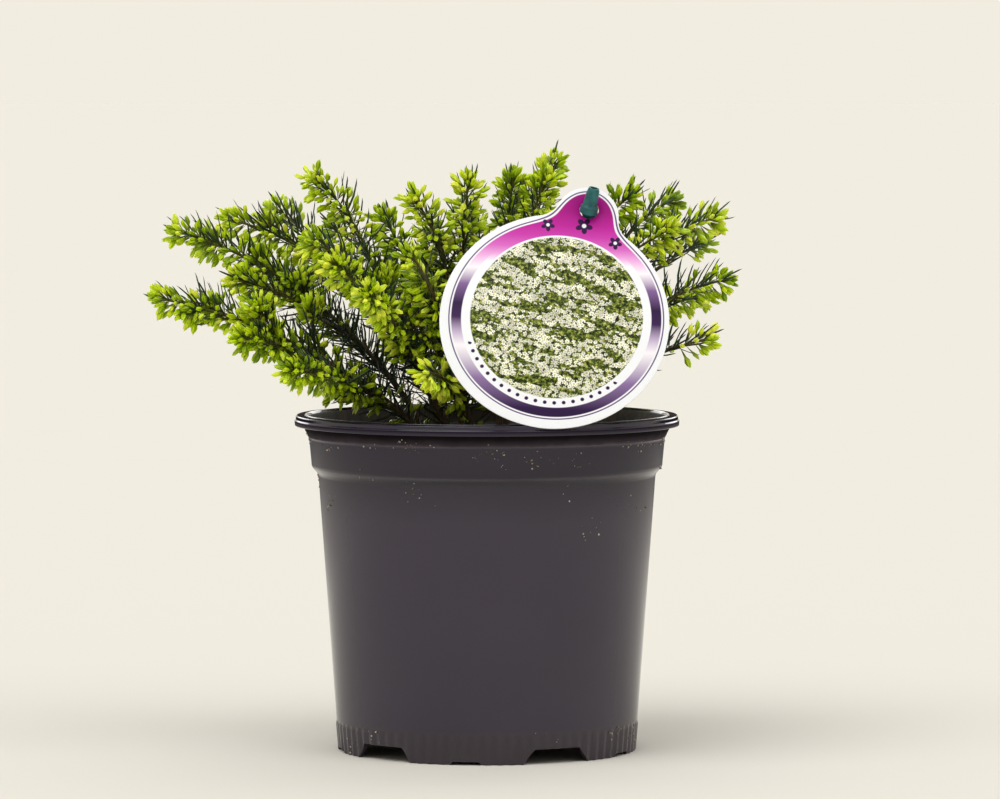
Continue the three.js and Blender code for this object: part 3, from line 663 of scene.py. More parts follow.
def rounded(corners, steps=4):
    """A profile's points, each corner (radius, height, rounding) turned into a short curve."""
    points = []
    for i, (r, z, cut) in enumerate(corners):
        corner = np.array((r, z), float)
        if not cut:
            points.append(corner)
            continue
        ends = []
        for other in (corners[i - 1], corners[(i + 1) % len(corners)]):
            side = np.array(other[:2], float) - corner
            reach = np.linalg.norm(side)
            ends.append(corner + side / reach * min(cut, 0.49 * reach))
        for t in np.arange(steps + 1) / steps:
            points.append((1 - t) ** 2 * ends[0] + 2 * t * (1 - t) * corner + t ** 2 * ends[1])
    return points


def pot_corners():
    """The wall's profile: from under the floor, up the outside, over the rim and down the inside."""
    foot_inside = FOOT_RADIUS - RIB_DEPTH - WALL
    return [
        (0, 0, 0), (DIMPLE_RADIUS, 0, 0.5), (DIMPLE_RADIUS + 4, FLOOR_Z, 1.5), (foot_inside, FLOOR_Z, 0),
        (foot_inside, 0, 0.2), (FOOT_RADIUS, 0, 0.3), (FOOT_RADIUS + 0.7, FOOT_HEIGHT - 1.8, 0),
        (FOOT_RADIUS + 0.75, FOOT_HEIGHT - 0.4, 0), (FOOT_RADIUS + 0.8, FOOT_HEIGHT + 0.2, 0),
        (BODY_BOTTOM_RADIUS, FOOT_HEIGHT + 0.5, 0.3), (BODY_TOP_RADIUS, STEP_Z, 0.9),
        (BAND_RADIUS - 0.3, BAND_BOTTOM_Z, 0.8), (BAND_RADIUS + 0.6, BAND_TOP_Z + 0.2, 0.5),
        (NECK_RADIUS, LIP_Z, 0.2), (RIM_RADIUS - 0.1, LIP_Z, 0.3), (RIM_RADIUS, LIP_Z + 1.8, 0.3),
        (RIM_RADIUS - 0.45, LIP_Z + 2.1, 0.15), (RIM_RADIUS - 0.45, POT_HEIGHT - 0.3, 0.2),
        (RIM_RADIUS - 0.8, POT_HEIGHT - 0.04, 0.15), (RIM_INNER_RADIUS + 0.7, POT_HEIGHT, 0.1),
        (RIM_INNER_RADIUS + 0.6, POT_HEIGHT + 0.3, 0.2), (RIM_INNER_RADIUS, POT_HEIGHT + 0.3, 0.25),
        (RIM_INNER_RADIUS - 0.5, POT_HEIGHT - 0.7, 0.3), (NECK_RADIUS - WALL - 0.9, BAND_TOP_Z + 2, 0.8),
        (BAND_RADIUS - WALL + 0.3, BAND_TOP_Z, 0.8), (BAND_RADIUS - WALL - 0.3, BAND_BOTTOM_Z, 0.8),
        (BODY_TOP_RADIUS - WALL, STEP_Z, 0.8), (BODY_BOTTOM_RADIUS - WALL, FLOOR_Z + WALL, 1.0),
        (DIMPLE_RADIUS + 3, FLOOR_Z + WALL, 1.5), (DIMPLE_RADIUS - 1, WALL, 0.5), (0, WALL, 0),
    ]


def notch_cutter(shape):
    """A tapered block that crosses the foot's wall at its front."""
    height, bottom_width, top_width = shape
    obj = add(bpy.ops.mesh.primitive_cube_add, "notch", size=2)
    corner = coords(obj)
    half = np.where(corner[:, 2] > 0, top_width / 2, bottom_width / 2)
    out = np.where(corner[:, 1] > 0, -FOOT_RADIUS + 5, -FOOT_RADIUS - 5)
    set_coords(obj, np.c_[corner[:, 0] * half, out, np.where(corner[:, 2] > 0, height, -1.0)] * MM)
    return obj


def make_pot():
    steps = 4 * RIB_COUNT
    pot = spun("pot_shell", rounded(pot_corners()), steps)

    # Upright ribs round the foot: every fourth part of a turn step stands out or in.
    points = coords(pot)
    radius = np.hypot(points[:, 0], points[:, 1])
    step = np.round(np.arctan2(points[:, 1], points[:, 0]) / tau * steps).astype(int) % 4
    depth = np.array((0.5, 0.5, -0.5, -0.5))[step] * RIB_DEPTH * MM
    on_foot = (points[:, 2] < (FOOT_HEIGHT - 1.0) * MM) & (radius > (FOOT_RADIUS - 0.45) * MM)
    points[:, :2] *= np.where(on_foot, 1 + depth / np.maximum(radius, 1e-6), 1.0)[:, None]
    set_coords(pot, points)

    cutters = []
    pitch = 360 / NOTCH_COUNT
    slot_width, slot_length, slot_middle = DRAIN_SLOT
    for i in range(NOTCH_COUNT):
        angle = FIRST_NOTCH_DEG + i * pitch
        slot = block("drain_slot", (slot_width, slot_length, 5), (0, -slot_middle, FLOOR_Z))
        notches = ((notch_cutter(BIG_NOTCH), angle), (notch_cutter(SMALL_NOTCH), angle + pitch / 2))
        for cutter, turn in (*notches, (slot, angle)):
            cutter.rotation_euler.z = radians(turn)
            cutters.append(into_place(cutter))
    cutter = join(cutters, "notches")
    cut = pot.modifiers.new("notches", "BOOLEAN")
    cut.operation = "DIFFERENCE"
    cut.object = cutter
    apply_modifiers(pot)
    bpy.data.objects.remove(cutter)
    give(pot, pot_material(), 28, "pot")


def make_painted_shade_film():
    """The painted shade film: thin closed bands that lie on the neck under the lip, and on the rim's top."""
    low, low_z = BAND_RADIUS + 0.75, BAND_TOP_Z + 0.55
    high, high_z = NECK_RADIUS - 0.02, LIP_Z - 0.12
    inner, outer = RIM_INNER_RADIUS + 0.75, RIM_RADIUS - 0.85
    on_neck = [(low - 0.3, low_z), (low, low_z), (low + 0.13, low_z + 0.1), (high + 0.12, high_z),
               (high - 0.3, high_z)]
    on_rim = [(inner, POT_HEIGHT - 0.1), (outer, POT_HEIGHT - 0.14), (outer, POT_HEIGHT + 0.01),
              (outer - 0.15, POT_HEIGHT + 0.03), (inner + 0.1, POT_HEIGHT + 0.05)]
    film = join([spun("shade_band", profile, 160) for profile in (on_neck, on_rim)], "pot_painted_shade_film")
    give(film, painted_shade_film_material(), 30)


# Peat, crumbs and litter

def peat_height(x, y):
    mound = PEAT_MOUND * np.exp(-((np.hypot(x, y) / 34) ** 2))
    lumps = np.sin(0.31 * x + 1.3) * np.cos(0.27 * y - 0.6) + 0.6 * np.sin(0.23 * x - 0.37 * y)
    return PEAT_EDGE_Z + mound + PEAT_RELIEF * lumps


def shape_of(obj, points):
    """A modelled pattern's points and faces, for copying. The pattern object itself is then removed."""
    faces = [tuple(p.vertices) for p in obj.data.polygons]
    bpy.data.objects.remove(obj)
    return np.asarray(points, float), faces


def crumb_shape(name, seed):
    """One crumb: a small ball pushed out of round."""
    obj = add(bpy.ops.mesh.primitive_ico_sphere_add, name, subdivisions=1, radius=1)
    own = np.random.default_rng(seed)
    points = coords(obj)
    points *= own.uniform(0.62, 1.25, (len(points), 1))
    points *= own.uniform(0.7, 1.2, 3)
    return shape_of(obj, points)


def add_tone(mesh, tones):
    attribute = mesh.color_attributes.new("tone", "FLOAT_COLOR", "POINT")
    attribute.data.foreach_set("color", np.c_[tones, np.ones(len(tones))].ravel())


class Copies:
    """Gathers many placed copies of modelled patterns into one mesh, each with its tone."""

    def __init__(self):
        self.points, self.faces, self.tones, self.count = [], [], [], 0

    def add(self, shape, basis, place, scale, tones):
        points, faces = shape
        self.points.append((points * scale) @ np.asarray(basis) + place)
        self.faces.extend(tuple(v + self.count for v in face) for face in faces)
        self.tones.append(tones)
        self.count += len(points)

    def mesh(self, name):
        mesh = bpy.data.meshes.new(name)
        mesh.from_pydata(np.concatenate(self.points) * MM, [], self.faces)
        add_tone(mesh, np.concatenate(self.tones))
        mesh.validate()
        obj = bpy.data.objects.new(name, mesh)
        bpy.context.scene.collection.objects.link(obj)
        return obj


def random_turn(draw):
    """A random right-handed set of three axes."""
    q, _ = np.linalg.qr(draw.normal(size=(3, 3)))
    return q if np.linalg.det(q) > 0 else -q


def crumb_tone(shape, own, pale):
    return np.tile((own, pale, 0.0), (len(shape[0]), 1))


def make_peat(material):
    """The peat's lumpy top and hidden sides, then loose crumbs and pale grit on it."""
    profile = [(r, PEAT_EDGE_Z) for r in (0.0, *np.linspace(2, PEAT_RADIUS, 30))]
    profile += [(PEAT_RADIUS, PEAT_EDGE_Z - 6), (54.6, 90), (49.2, FLOOR_Z + 1.6), (0, FLOOR_Z + 1.6)]
    bed = spun("peat_bed", profile, 128)
    points = coords(bed) / MM
    x, y, z = points.T
    rough = 0.5 * np.sin(1.9 * x + 0.8 * np.sin(1.3 * y)) * np.cos(2.1 * y + 0.5 * np.sin(1.7 * x))
    raised = peat_height(x, y) + rough + rng.uniform(-0.25, 0.25, len(points))
    points[:, 2] = np.where(z > PEAT_EDGE_Z - 0.5, raised, z)
    set_coords(bed, points * MM)
    give(bed, material, 40, "peat")

    crumbs = [crumb_shape(f"crumb_{i}", i) for i in range(5)]
    loose = Copies()
    for _ in range(CRUMB_COUNT):
        r = (PEAT_RADIUS + 0.6) * sqrt(rng.uniform(0, 1))
        angle = rng.uniform(0, tau)
        x, y = polar(r, angle)
        size = 0.35 + 1.0 * rng.uniform() ** 3
        shape = crumbs[rng.integers(len(crumbs))]
        pale = 1.0 if rng.uniform() < PALE_SHARE else 0.0
        tone = crumb_tone(shape, rng.uniform(), pale)
        loose.add(shape, random_turn(rng), (x, y, peat_height(x, y) + 0.35 * size), size, tone)
    give(loose.mesh("peat_crumbs"), material)


def over_notch(angle, z):
    """Is this spot on the foot where a drain notch is cut?"""
    pitch = tau / NOTCH_COUNT
    first = radians(FIRST_NOTCH_DEG - 90)
    for (height, width, _), start in ((BIG_NOTCH, first), (SMALL_NOTCH, first + pitch / 2)):
        away = abs((angle - start + pitch / 2) % pitch - pitch / 2)
        if z < height + 0.8 and away < (width / 2 + 1) / FOOT_RADIUS:
            return True
    return False


def speck_level():
    """The height of a cluster and its spread, most often by the ledges, else on the wall or the foot."""
    kind = rng.uniform()
    if kind < 0.45:
        return BAND_TOP_Z + rng.uniform(-1.5, 2.2), 0.8
    if kind < 0.65:
        return rng.uniform(BAND_BOTTOM_Z, BAND_TOP_Z), 1.5
    if kind < 0.85:
        return BAND_BOTTOM_Z - 4 - abs(rng.normal(0, 7)), 2.0
    return rng.uniform(1.5, FOOT_HEIGHT), 1.5


def make_specks(material):
    """Dry crumbs that cling to the pot in small clusters, on its upper band, its ledges and its foot."""
    crumbs = [crumb_shape(f"speck_{i}", 40 + i) for i in range(3)]
    heights = (0, FOOT_HEIGHT - 0.5, FOOT_HEIGHT + 0.5, STEP_Z, BAND_BOTTOM_Z, BAND_TOP_Z + 0.2, LIP_Z)
    radii = (50.3, 51.3, BODY_BOTTOM_RADIUS, BODY_TOP_RADIUS, BAND_RADIUS - 0.3, BAND_RADIUS + 0.6, NECK_RADIUS)
    cling = Copies()
    for _ in range(SPECK_CLUSTERS):
        middle = rng.uniform(0, tau)
        level, rise = speck_level()
        for _ in range(rng.integers(3, 13)):
            angle = middle + rng.normal(0, 0.045)
            z = min(max(level + rng.normal(0, rise), 0.6), 109.0)
            size = 0.12 + 0.34 * rng.uniform() ** 2
            shape = crumbs[rng.integers(len(crumbs))]
            tone = crumb_tone(shape, 1.0, rng.uniform(0.1, 0.85))
            turn = random_turn(rng)
            if not over_notch(angle, z):
                r = np.interp(z, heights, radii)
                cling.add(shape, turn, (*polar(r, angle), z), size, tone)
    give(cling.mesh("pot_specks"), material)


def make_litter():
    """Fallen needles, dry and brown, that lie about on the peat."""
    shape, along = needle_shape()
    litter = Copies()
    draw = np.random.default_rng(7)
    for _ in range(FALLEN_COUNT):
        r = (PEAT_RADIUS - 2.5) * sqrt(draw.uniform(0.05, 1))
        angle, heading = draw.uniform(0, tau, 2)
        x, y = polar(r, angle)
        rise = radians(draw.normal(2, 7))
        direction = (*polar(cos(rise), heading), sin(rise))
        size = draw.uniform(0.4, 0.8)
        tone = leaf_tone(draw.uniform(), along, 0.0)
        place = (x, y, peat_height(x, y) + draw.uniform(0.7, 1.5))
        tip = np.add(place, np.multiply(direction, NEEDLE_LENGTH * size))
        if hypot(tip[0], tip[1]) <= PEAT_RADIUS - 1:
            litter.add(shape, standing(direction, UP), place, (draw.uniform(0.5, 3), 1, size), tone)
    give(litter.mesh("fallen_needles"), dry_needle_material(), 50)


# Label and stake

def label_matrix(local=(0, 0, 0)):
    """The label's place and lean, moved to a spot that is given in its own millimetres."""
    place = Matrix.Translation(Vector(LABEL_CENTRE) * MM)
    lean = Matrix.Rotation(radians(90 - LABEL_LEAN_DEG), 4, "X")
    turn = Matrix.Rotation(radians(-LABEL_TURN_DEG), 4, "Z")
    return place @ lean @ turn @ Matrix.Translation(Vector(local) * MM)


def arc(x, y, radius, start, end, steps):
    angles = start + (end - start) * (np.arange(steps) + 1) / steps
    return [(*np.add((x, y), polar(radius, a)), 0) for a in angles]


def make_label():
    tab_up = TAB_TOP - TAB_RADIUS
    to_fillet, tab_to_fillet = LABEL_RADIUS + TAB_FILLET, TAB_RADIUS + TAB_FILLET
    up = (to_fillet ** 2 - tab_to_fillet ** 2 + tab_up ** 2) / (2 * tab_up)
    across = sqrt(to_fillet ** 2 - up ** 2)
    disc_angle = atan2(up, across)
    tab_angle = atan2(up - tab_up, across)
    outline = (
        arc(0, 0, LABEL_RADIUS, pi - disc_angle, tau + disc_angle, 110)
        + arc(across, up, TAB_FILLET, pi + disc_angle, pi + tab_angle, 14)
        + arc(0, tab_up, TAB_RADIUS, tab_angle, pi - tab_angle, 36)
        + arc(-across, up, TAB_FILLET, -tab_angle, -disc_angle, 14)
    )
    hole = arc(0, LABEL_HOLE_UP, LABEL_HOLE_RADIUS, 0, tau, 32)
    card = join([loop_object("label_card", outline), loop_object("label_hole", hole)], "label_card")
    edit(card)
    bpy.ops.mesh.fill(use_beauty=True)
    select()
    pull(LABEL_THICKNESS * MM)
    close()
    soften(card, 0.12, 60)

    # The printed face maps to the middle of the print, and every other face to its blank white corner.
    while card.data.uv_layers:
        card.data.uv_layers.remove(card.data.uv_layers[0])
    layer = card.data.uv_layers.new(name="print")
    for polygon in card.data.polygons:
        printed = polygon.normal.z > 0.9
        for i in polygon.loop_indices:
            co = card.data.vertices[card.data.loops[i].vertex_index].co
            layer.data[i].uv = (co.x * 10 + 0.5, co.y * 10 + 0.5) if printed else (0.999, 0.001)
    into_place(card, label_matrix())
    give(card, label_material(), 35, "label")


def stake_line():
    """The stake's foot in the peat and its top behind the label's hole."""
    back = -STAKE_BEHIND - STAKE_THICKNESS / 2
    top = label_matrix() @ (Vector((0, LABEL_HOLE_UP, back)) * MM) / MM
    return Vector((top.x - 4, top.y - 8, PEAT_EDGE_Z - STAKE_DEPTH)), top


def along_z(point, direction):
    z = direction.normalized()
    y = (Vector((0, 1, 0)) - z * z.y).normalized()
    return Matrix.Translation(point * MM) @ Matrix((y.cross(z), y, z)).transposed().to_4x4()


def stake_bar(length):
    """The stake's flat bar, which narrows to a point at its foot."""
    bar = block("label_stake_bar", (STAKE_WIDTH, 1.0, length), (0, -0.6, length / 2))
    edit(bar)
    bpy.ops.mesh.subdivide(number_cuts=6)
    mode("OBJECT")
    points = coords(bar)
    points[:, 0] *= 1 - 0.75 * np.clip(1 - points[:, 2] / (9 * MM), 0, 1)
    set_coords(bar, points)
    return bar


def stake_peg():
    """The peg: a fluted tube with a wide shoulder at the card and a narrower, hollow mouth."""
    cylinder = bpy.ops.mesh.primitive_cylinder_add
    peg = add(cylinder, "label_stake_peg", vertices=16, radius=1, depth=1, end_fill_type="NGON")
    edit(peg, lambda polygon: polygon.normal.z > 0.9, peg.data.polygons)
    for rise in (1.0, 1.0, 1.0, 0.6):
        pull(rise)
    bpy.ops.mesh.inset(thickness=0.24, depth=0)
    pull(-2.6)
    mode("OBJECT")

    # Each modelled level moves to its real height and radius.
    points = coords(peg)
    levels = {-0.5: (-1.9, 2.9), 0.5: (0.4, 3.0), 1.5: (1.2, 2.45), 2.5: (3.9, 2.35), 3.5: (5.9, 2.15),
              4.1: (7.0, 1.8)}
    for point in points:
        level = min(levels, key=lambda value: abs(value - point[2]))
        height, radius = levels[level]
        around = hypot(point[0], point[1])
        inner = around < 0.9
        flute = round(degrees(atan2(point[1], point[0])) / 22.5) % 4 == 0 and level > 0.9
        scale = (radius - 0.6 if inner else radius - 0.32 * flute) / around
        if inner and level == 1.5:
            height = 2.6
        point[:] = (point[0] * scale, point[1] * scale, height)
    set_coords(peg, points * MM)
    soften(peg, 0.12, 32)
    stand = Matrix.Rotation(radians(PEG_TILT_DEG - 90), 4, "X")
    return into_place(peg, label_matrix((0, LABEL_HOLE_UP, LABEL_THICKNESS + 1.9)) @ stand)


def make_stake():
    """The stake's bar with a rib up its back, the peg that holds the label, and the neck that joins them."""
    foot, top = stake_line()
    length = (top - foot).length + 2.4
    parts = [stake_bar(length), block("label_stake_rib", (1.1, 1.2, length - 8), (0, 0.45, length / 2 + 3))]
    for part in parts:
        soften(into_place(part, along_z(foot, top - foot)), 0.22, 50)
    parts.append(stake_peg())
    cylinder = bpy.ops.mesh.primitive_cylinder_add
    neck = add(cylinder, "label_stake_neck", vertices=20, radius=2.25 * MM, depth=4 * MM)
    parts.append(into_place(neck, label_matrix((0, LABEL_HOLE_UP, 0.2))))
    give(join(parts, "stake_and_peg"), stake_material(), 30, "label_stake")


# Shoots

def polar(r, angle):
    return r * cos(angle), r * sin(angle)


def unit(vector):
    vector = np.asarray(vector, float)
    return vector / np.linalg.norm(vector)


def level_direction(start, end):
    return unit((end[0] - start[0], end[1] - start[1], 0))


def turned(first, second, angle):
    """A direction at an angle from one towards another."""
    return first * cos(angle) + second * sin(angle)


def leaning(along, out, lean):
    return turned(along, out, radians(lean))


class Shoot:
    """One shoot's curve, as four control points, with its bare start and its thickness there."""

    def __init__(self, start, leaving, tip, slope, lift, bare, thick):
        tip = np.array(tip, float)
        arriving = leaning(level_direction(start, tip), UP, slope)
        end = tip - TIP_TUFT * arriving
        span = np.linalg.norm(end - start)
        self.controls = (start, start + lift * leaving, end - 0.42 * span * arriving, end)
        self.bare, self.thick = bare, thick
        u = np.linspace(0, 1, 241)[:, None]
        a, b, c, d = self.controls
        self.line = (1 - u) ** 3 * a + 3 * u * (1 - u) ** 2 * b + 3 * u ** 2 * (1 - u) * c + u ** 3 * d
        steps = np.linalg.norm(np.diff(self.line, axis=0), axis=1)
        self.travel = np.concatenate(([0], np.cumsum(steps)))
        self.length = self.travel[-1]

    def spot(self, distance):
        return np.array([np.interp(distance, self.travel, self.line[:, i]) for i in range(3)])

    def at(self, distance):
        """The centre and the tangent at a distance along the shoot."""
        return self.spot(distance), unit(self.spot(distance + 0.3) - self.spot(distance - 0.3))

    def radius(self, distance):
        return self.thick + (TIP_RADIUS - self.thick) * min(1.0, 1.3 * (distance / self.length))


def branch_shoots(root, tip, slope, rise, lift, sides):
    """A branch's main shoot and its side shoots. Shoots that stand at the back are bare further up."""
    base = np.array((*root, peat_height(*root) + 1))
    leaving = leaning(level_direction(base, tip), UP, rise)
    bare = BARE_AT_FRONT if root[1] < 0 else BARE_AT_BACK
    main = Shoot(base, leaving, tip, slope, lift, bare, STUMP_TOP_RADIUS)
    shoots = [main]
    for share, side_tip, side_slope in sides:
        start, along = main.at(share * main.length)
        leaving = unit(along + level_direction(start, side_tip))
        shoots.append(Shoot(start, leaving, side_tip, side_slope, 9, 2, SHOOT_RADIUS))
    return shoots


def short_twigs(shoot, blocked, draw, count, first, last, shortest, longest):
    """Short twigs along a stretch of a shoot, which fill the bush between its long shoots."""
    twigs = []
    for k in range(count):
        share = first + (last - first) * (k + draw.uniform()) / count
        start, tangent = shoot.at(share * shoot.length)
        out = unit(np.cross(tangent, draw.normal(size=3)))
        leaving = unit(leaning(tangent, out, draw.uniform(34, 58)) + 0.15 * UP)
        tip = start + leaving * draw.uniform(shortest, longest) + 2 * UP
        if not (blocked(tip) or blocked((tip + start) / 2) or blocked(tip + leaving * 4)):
            slope = degrees(asin(leaving[2])) + 8
            twigs.append(Shoot(start, leaving, tip, slope, 4, 1, TWIG_RADIUS))
    return twigs


def ball(name, segments):
    """A small ball to model from, with its points and each one's ring, counted from the top."""
    obj = add(bpy.ops.mesh.primitive_uv_sphere_add, name, segments=segments, ring_count=5, radius=1)
    points = coords(obj)
    ring = np.round(np.arccos(np.clip(points[:, 2], -1, 1)) / pi * 5).astype(int)
    return obj, points, ring


def needle_shape():
    """A needle: slim, flattened, arched a little forward, pointed. Z runs along it and X outward."""
    obj, points, ring = ball("needle", 4)
    along = np.array((1.0, 0.86, 0.52, 0.14, 0.02, 0.0))[ring]
    width = np.array((0.0, 0.25, 0.34, 0.33, 0.22, 0.0))[ring]
    around = np.hypot(points[:, 0], points[:, 1])
    x, y = [np.where(around > 1e-6, points[:, i] / np.maximum(around, 1e-6), 0) * width for i in (0, 1)]
    length = along * NEEDLE_LENGTH
    return shape_of(obj, np.c_[x * 0.5 - 0.012 * length ** 2, y, length]), along


def bud_shape(seed, opened):
    """A bud on its thin stalk: a plump oval of four sepals, whose points part into a little crown."""
    obj, points, ring = ball("bud", 8)
    own = np.random.default_rng(seed)
    step = np.round(np.arctan2(points[:, 1], points[:, 0]) / (pi / 4)).astype(int) % 8
    lobe = step % 2 == 0

    def by_ring(on_lobe, in_gap):
        return np.where(lobe, np.array(on_lobe)[ring], np.array(in_gap)[ring])

    along = by_ring((0.9, 1.0, 0.86, 0.68, 0.5, 0.0), (0.9, 0.92, 0.83, 0.67, 0.5, 0.0))
    width = by_ring((0.0, 0.22 + 0.32 * opened, 0.76, 0.9, 0.36, 0.0), (0.0, 0.22, 0.62, 0.78, 0.32, 0.0))
    # Painted highlight on the sepals' points and painted shade in the gaps between them, added to each bud's tone.
    lit = by_ring((0.1, 0.25, 0.12, 0, 0, 0), (0, -0.12, -0.2, -0.12, 0, 0))
    along = along + (lobe & (ring == 1)) * own.uniform(-0.08, 0.04, len(points))
    angle = step * pi / 4 + own.uniform(-0.12, 0.12, len(points))
    length = along * BUD_LENGTH
    bent = 0.02 * length ** 2 * own.uniform(-0.6, 1)
    shape = shape_of(obj, np.c_[width * np.cos(angle) - bent, width * np.sin(angle), length])
    return shape, np.clip(along, 0, 1), lit


def leaf_tone(own, along, place):
    """The tone of one needle or bud: its own draw, its length from 0 to 1, and its place on the shoot."""
    return np.c_[np.full(len(along), own), along, np.full(len(along), place)]


def standing(direction, outward):
    """Axes for a needle or bud: Z along it, X as near outward as may be. Rows, for points @ axes."""
    z = unit(direction)
    x = unit(outward - z * np.dot(outward, z) + 1e-6)
    return np.array((x, np.cross(z, x), z))


def in_the_way(point, inverse, foot, top):
    """Is a point in the pot's wall, under the peat, at the label or against its stake?"""
    r = hypot(point[0], point[1])
    if point[2] < POT_HEIGHT + 0.8 and NECK_RADIUS - WALL - 2.5 < r < RIM_RADIUS + 1.5:
        return True
    if r < RIM_RADIUS and point[2] < peat_height(point[0], point[1]) + 0.6:
        return True
    local = inverse @ np.array((*point, 1.0))
    if hypot(local[0], local[1] - 4) < LABEL_RADIUS + 12 and local[2] > -1.5:
        return True
    line = top - foot
    share = np.clip(np.dot(point - foot, line) / np.dot(line, line), 0, 1)
    return np.linalg.norm(point - foot - share * line) < STAKE_WIDTH / 2 + 1


class Foliage:
    """A branch's needles and buds, set out shoot by shoot."""

    def __init__(self, draw, blocked, needle, bud_kinds):
        self.draw, self.blocked, self.needle, self.bud_kinds = draw, blocked, needle, bud_kinds
        self.needles, self.buds = Copies(), Copies()
        self.tint = 0.0

    def dress(self, shoot, bloom, leafy):
        """Whorls of needles, most of them inside and on top, and buds, closer and closer towards the tip."""
        draw = self.draw
        _, tangent = shoot.at(0)
        side = unit(np.cross(tangent, (0.2, 1, 0.1)))
        bloom_from = bloom if bloom is not None else draw.uniform(*USUAL_BLOOM)
        self.tint = draw.uniform(-0.16, 0.16)
        for k in range(int((shoot.length - shoot.bare) / WHORL_STEP) + 1):
            distance = shoot.bare + k * WHORL_STEP
            share = distance / shoot.length
            centre, tangent = shoot.at(distance)
            side = unit(side - tangent * np.dot(side, tangent))
            across = np.cross(tangent, side)
            near_tip = max(0.0, 1 - (shoot.length - distance) / 14)
            whorl = centre, tangent, shoot.radius(distance) * 0.7, share, near_tip
            for j in range(NEEDLES_IN_WHORL):
                angle = tau * (j + 0.5 * (k % 2)) / NEEDLES_IN_WHORL + 0.07 * k + draw.normal(0, 0.2)
                self.add_needle(whorl, turned(side, across, angle), leafy)
            wanted = np.clip((share - bloom_from) / 0.42, 0, 1) if k % 2 else 0.0
            for j in range(BUDS_IN_WHORL):
                angle = tau * (j + 0.25 * (k % 4)) / BUDS_IN_WHORL + draw.normal(0, 0.25)
                self.hang_bud(whorl, turned(side, across, angle), wanted)
        self.tuft(shoot)

    def add_needle(self, whorl, out, leafy):
        draw = self.draw
        centre, tangent, stem, share, near_tip = whorl
        inner = np.clip(1 - (share - 0.3) / 0.35, 0, 1)
        lifted = float(np.dot(out, UP))
        if draw.uniform() > max(leafy * inner, 0.52 + 0.44 * lifted) * (1 - 0.5 * near_tip):
            return
        lean = (NEEDLE_LEAN_DEG + 12 * inner + 12 * lifted + draw.normal(0, 11)) * (1 - 0.4 * near_tip)
        length = draw.uniform(0.72, 1.12) * (1 - 0.3 * near_tip)
        direction = unit(leaning(tangent, out, lean) + NEEDLE_RISE * UP)
        place = centre + out * stem
        tip = place + direction * NEEDLE_LENGTH * length
        if self.blocked(tip) or self.blocked((tip + place) / 2):
            return
        shape, along = self.needle
        tone = leaf_tone(draw.uniform(), along, share)
        arch = draw.uniform(0.6, 2.2)
        self.needles.add(shape, standing(direction, out), place, (arch, 1, length), tone)

    def hang_bud(self, whorl, out, wanted):
        """A bud of a whorl, more likely on the shoot's lower side."""
        draw = self.draw
        centre, tangent, stem, share, near_tip = whorl
        if draw.uniform() > wanted * (0.86 - 0.2 * float(np.dot(out, UP))):
            return
        lean = (BUD_LEAN_DEG + draw.normal(0, 16)) * (1 - 0.2 * near_tip)
        direction = unit(leaning(tangent, out, lean) - BUD_DROOP * UP * (1 - near_tip))
        place = centre + out * stem + tangent * draw.normal(0, 0.4)
        self.add_bud(direction, out, place, draw.uniform(0.68, 1.14), share)

    def add_bud(self, direction, out, place, size, share):
        if self.blocked(place + direction * BUD_LENGTH * size):
            return
        draw = self.draw
        shape, along, lit = self.bud_kinds[draw.integers(len(self.bud_kinds))]
        own = draw.uniform(0.15, 0.85) + self.tint
        plump = size * draw.uniform(0.88, 1.15)
        tone = leaf_tone(0.0, along, share)
        # Each bud's own draw, with the painted highlight and shade of its sepals.
        tone[:, 0] = np.clip(own + lit, 0, 1)
        self.buds.add(shape, standing(direction, out), place, (plump, plump, size), tone)

    def tuft(self, shoot):
        """The close cluster of buds that ends a shoot."""
        centre, tangent = shoot.at(shoot.length)
        side = unit(np.cross(tangent, (0.3, 0.9, 0.2)))
        across = np.cross(tangent, side)
        for j in range(BUDS_IN_TUFT):
            out = turned(side, across, 2.4 * j)
            direction = leaning(tangent, out, 8 + 4.5 * j + self.draw.normal(0, 6))
            place = centre - tangent * (1.4 + 0.22 * j)
            self.add_bud(direction, out, place, self.draw.uniform(0.75, 0.95), 1.0)


def make_stems(name, root, shoots, material):
    """The woody parts: each shoot's own curve, thinned towards its tip, and the foot in the peat."""
    bottom = np.array((*root, peat_height(*root) - HOLE_DEPTH + 0.3))
    entry = shoots[0].controls[0]
    at_peat = STUMP_RADIUS * 0.92
    lines = [((bottom, bottom + 4 * UP, entry - 4 * UP, entry), STUMP_RADIUS, at_peat)]
    for shoot in shoots:
        lines.append((shoot.controls, at_peat if shoot is shoots[0] else shoot.thick, TIP_RADIUS))
    stems = []
    for k, (controls, thick, thin) in enumerate(lines):
        curve = add(bpy.ops.curve.primitive_bezier_curve_add, f"{name}_stem_{k}")
        curve.data.dimensions = "3D"
        curve.data.bevel_depth = MM
        curve.data.bevel_resolution = 2
        curve.data.resolution_u = 40
        curve.data.use_fill_caps = True
        first, last = curve.data.splines[0].bezier_points
        for point in (first, last):
            point.handle_left_type = point.handle_right_type = "FREE"
        a, b, c, d = [np.asarray(p) * MM for p in controls]
        first.co, first.handle_left, first.handle_right, first.radius = a, 2 * a - b, b, thick
        last.co, last.handle_left, last.handle_right, last.radius = d, c, 2 * d - c, thin
        stems.append(curve)
    take(*stems)
    bpy.ops.object.convert(target="MESH")
    bpy.ops.object.join()
    wood = into_place(named(f"{name}_stems"))
    reach = np.linalg.norm(coords(wood) / MM - entry, axis=1)
    young = np.clip((reach - YOUNG_FROM) / YOUNG_OVER, 0, 1)
    add_tone(wood.data, np.c_[young * 0, young, young * 0])
    give(wood, material, 60, name)


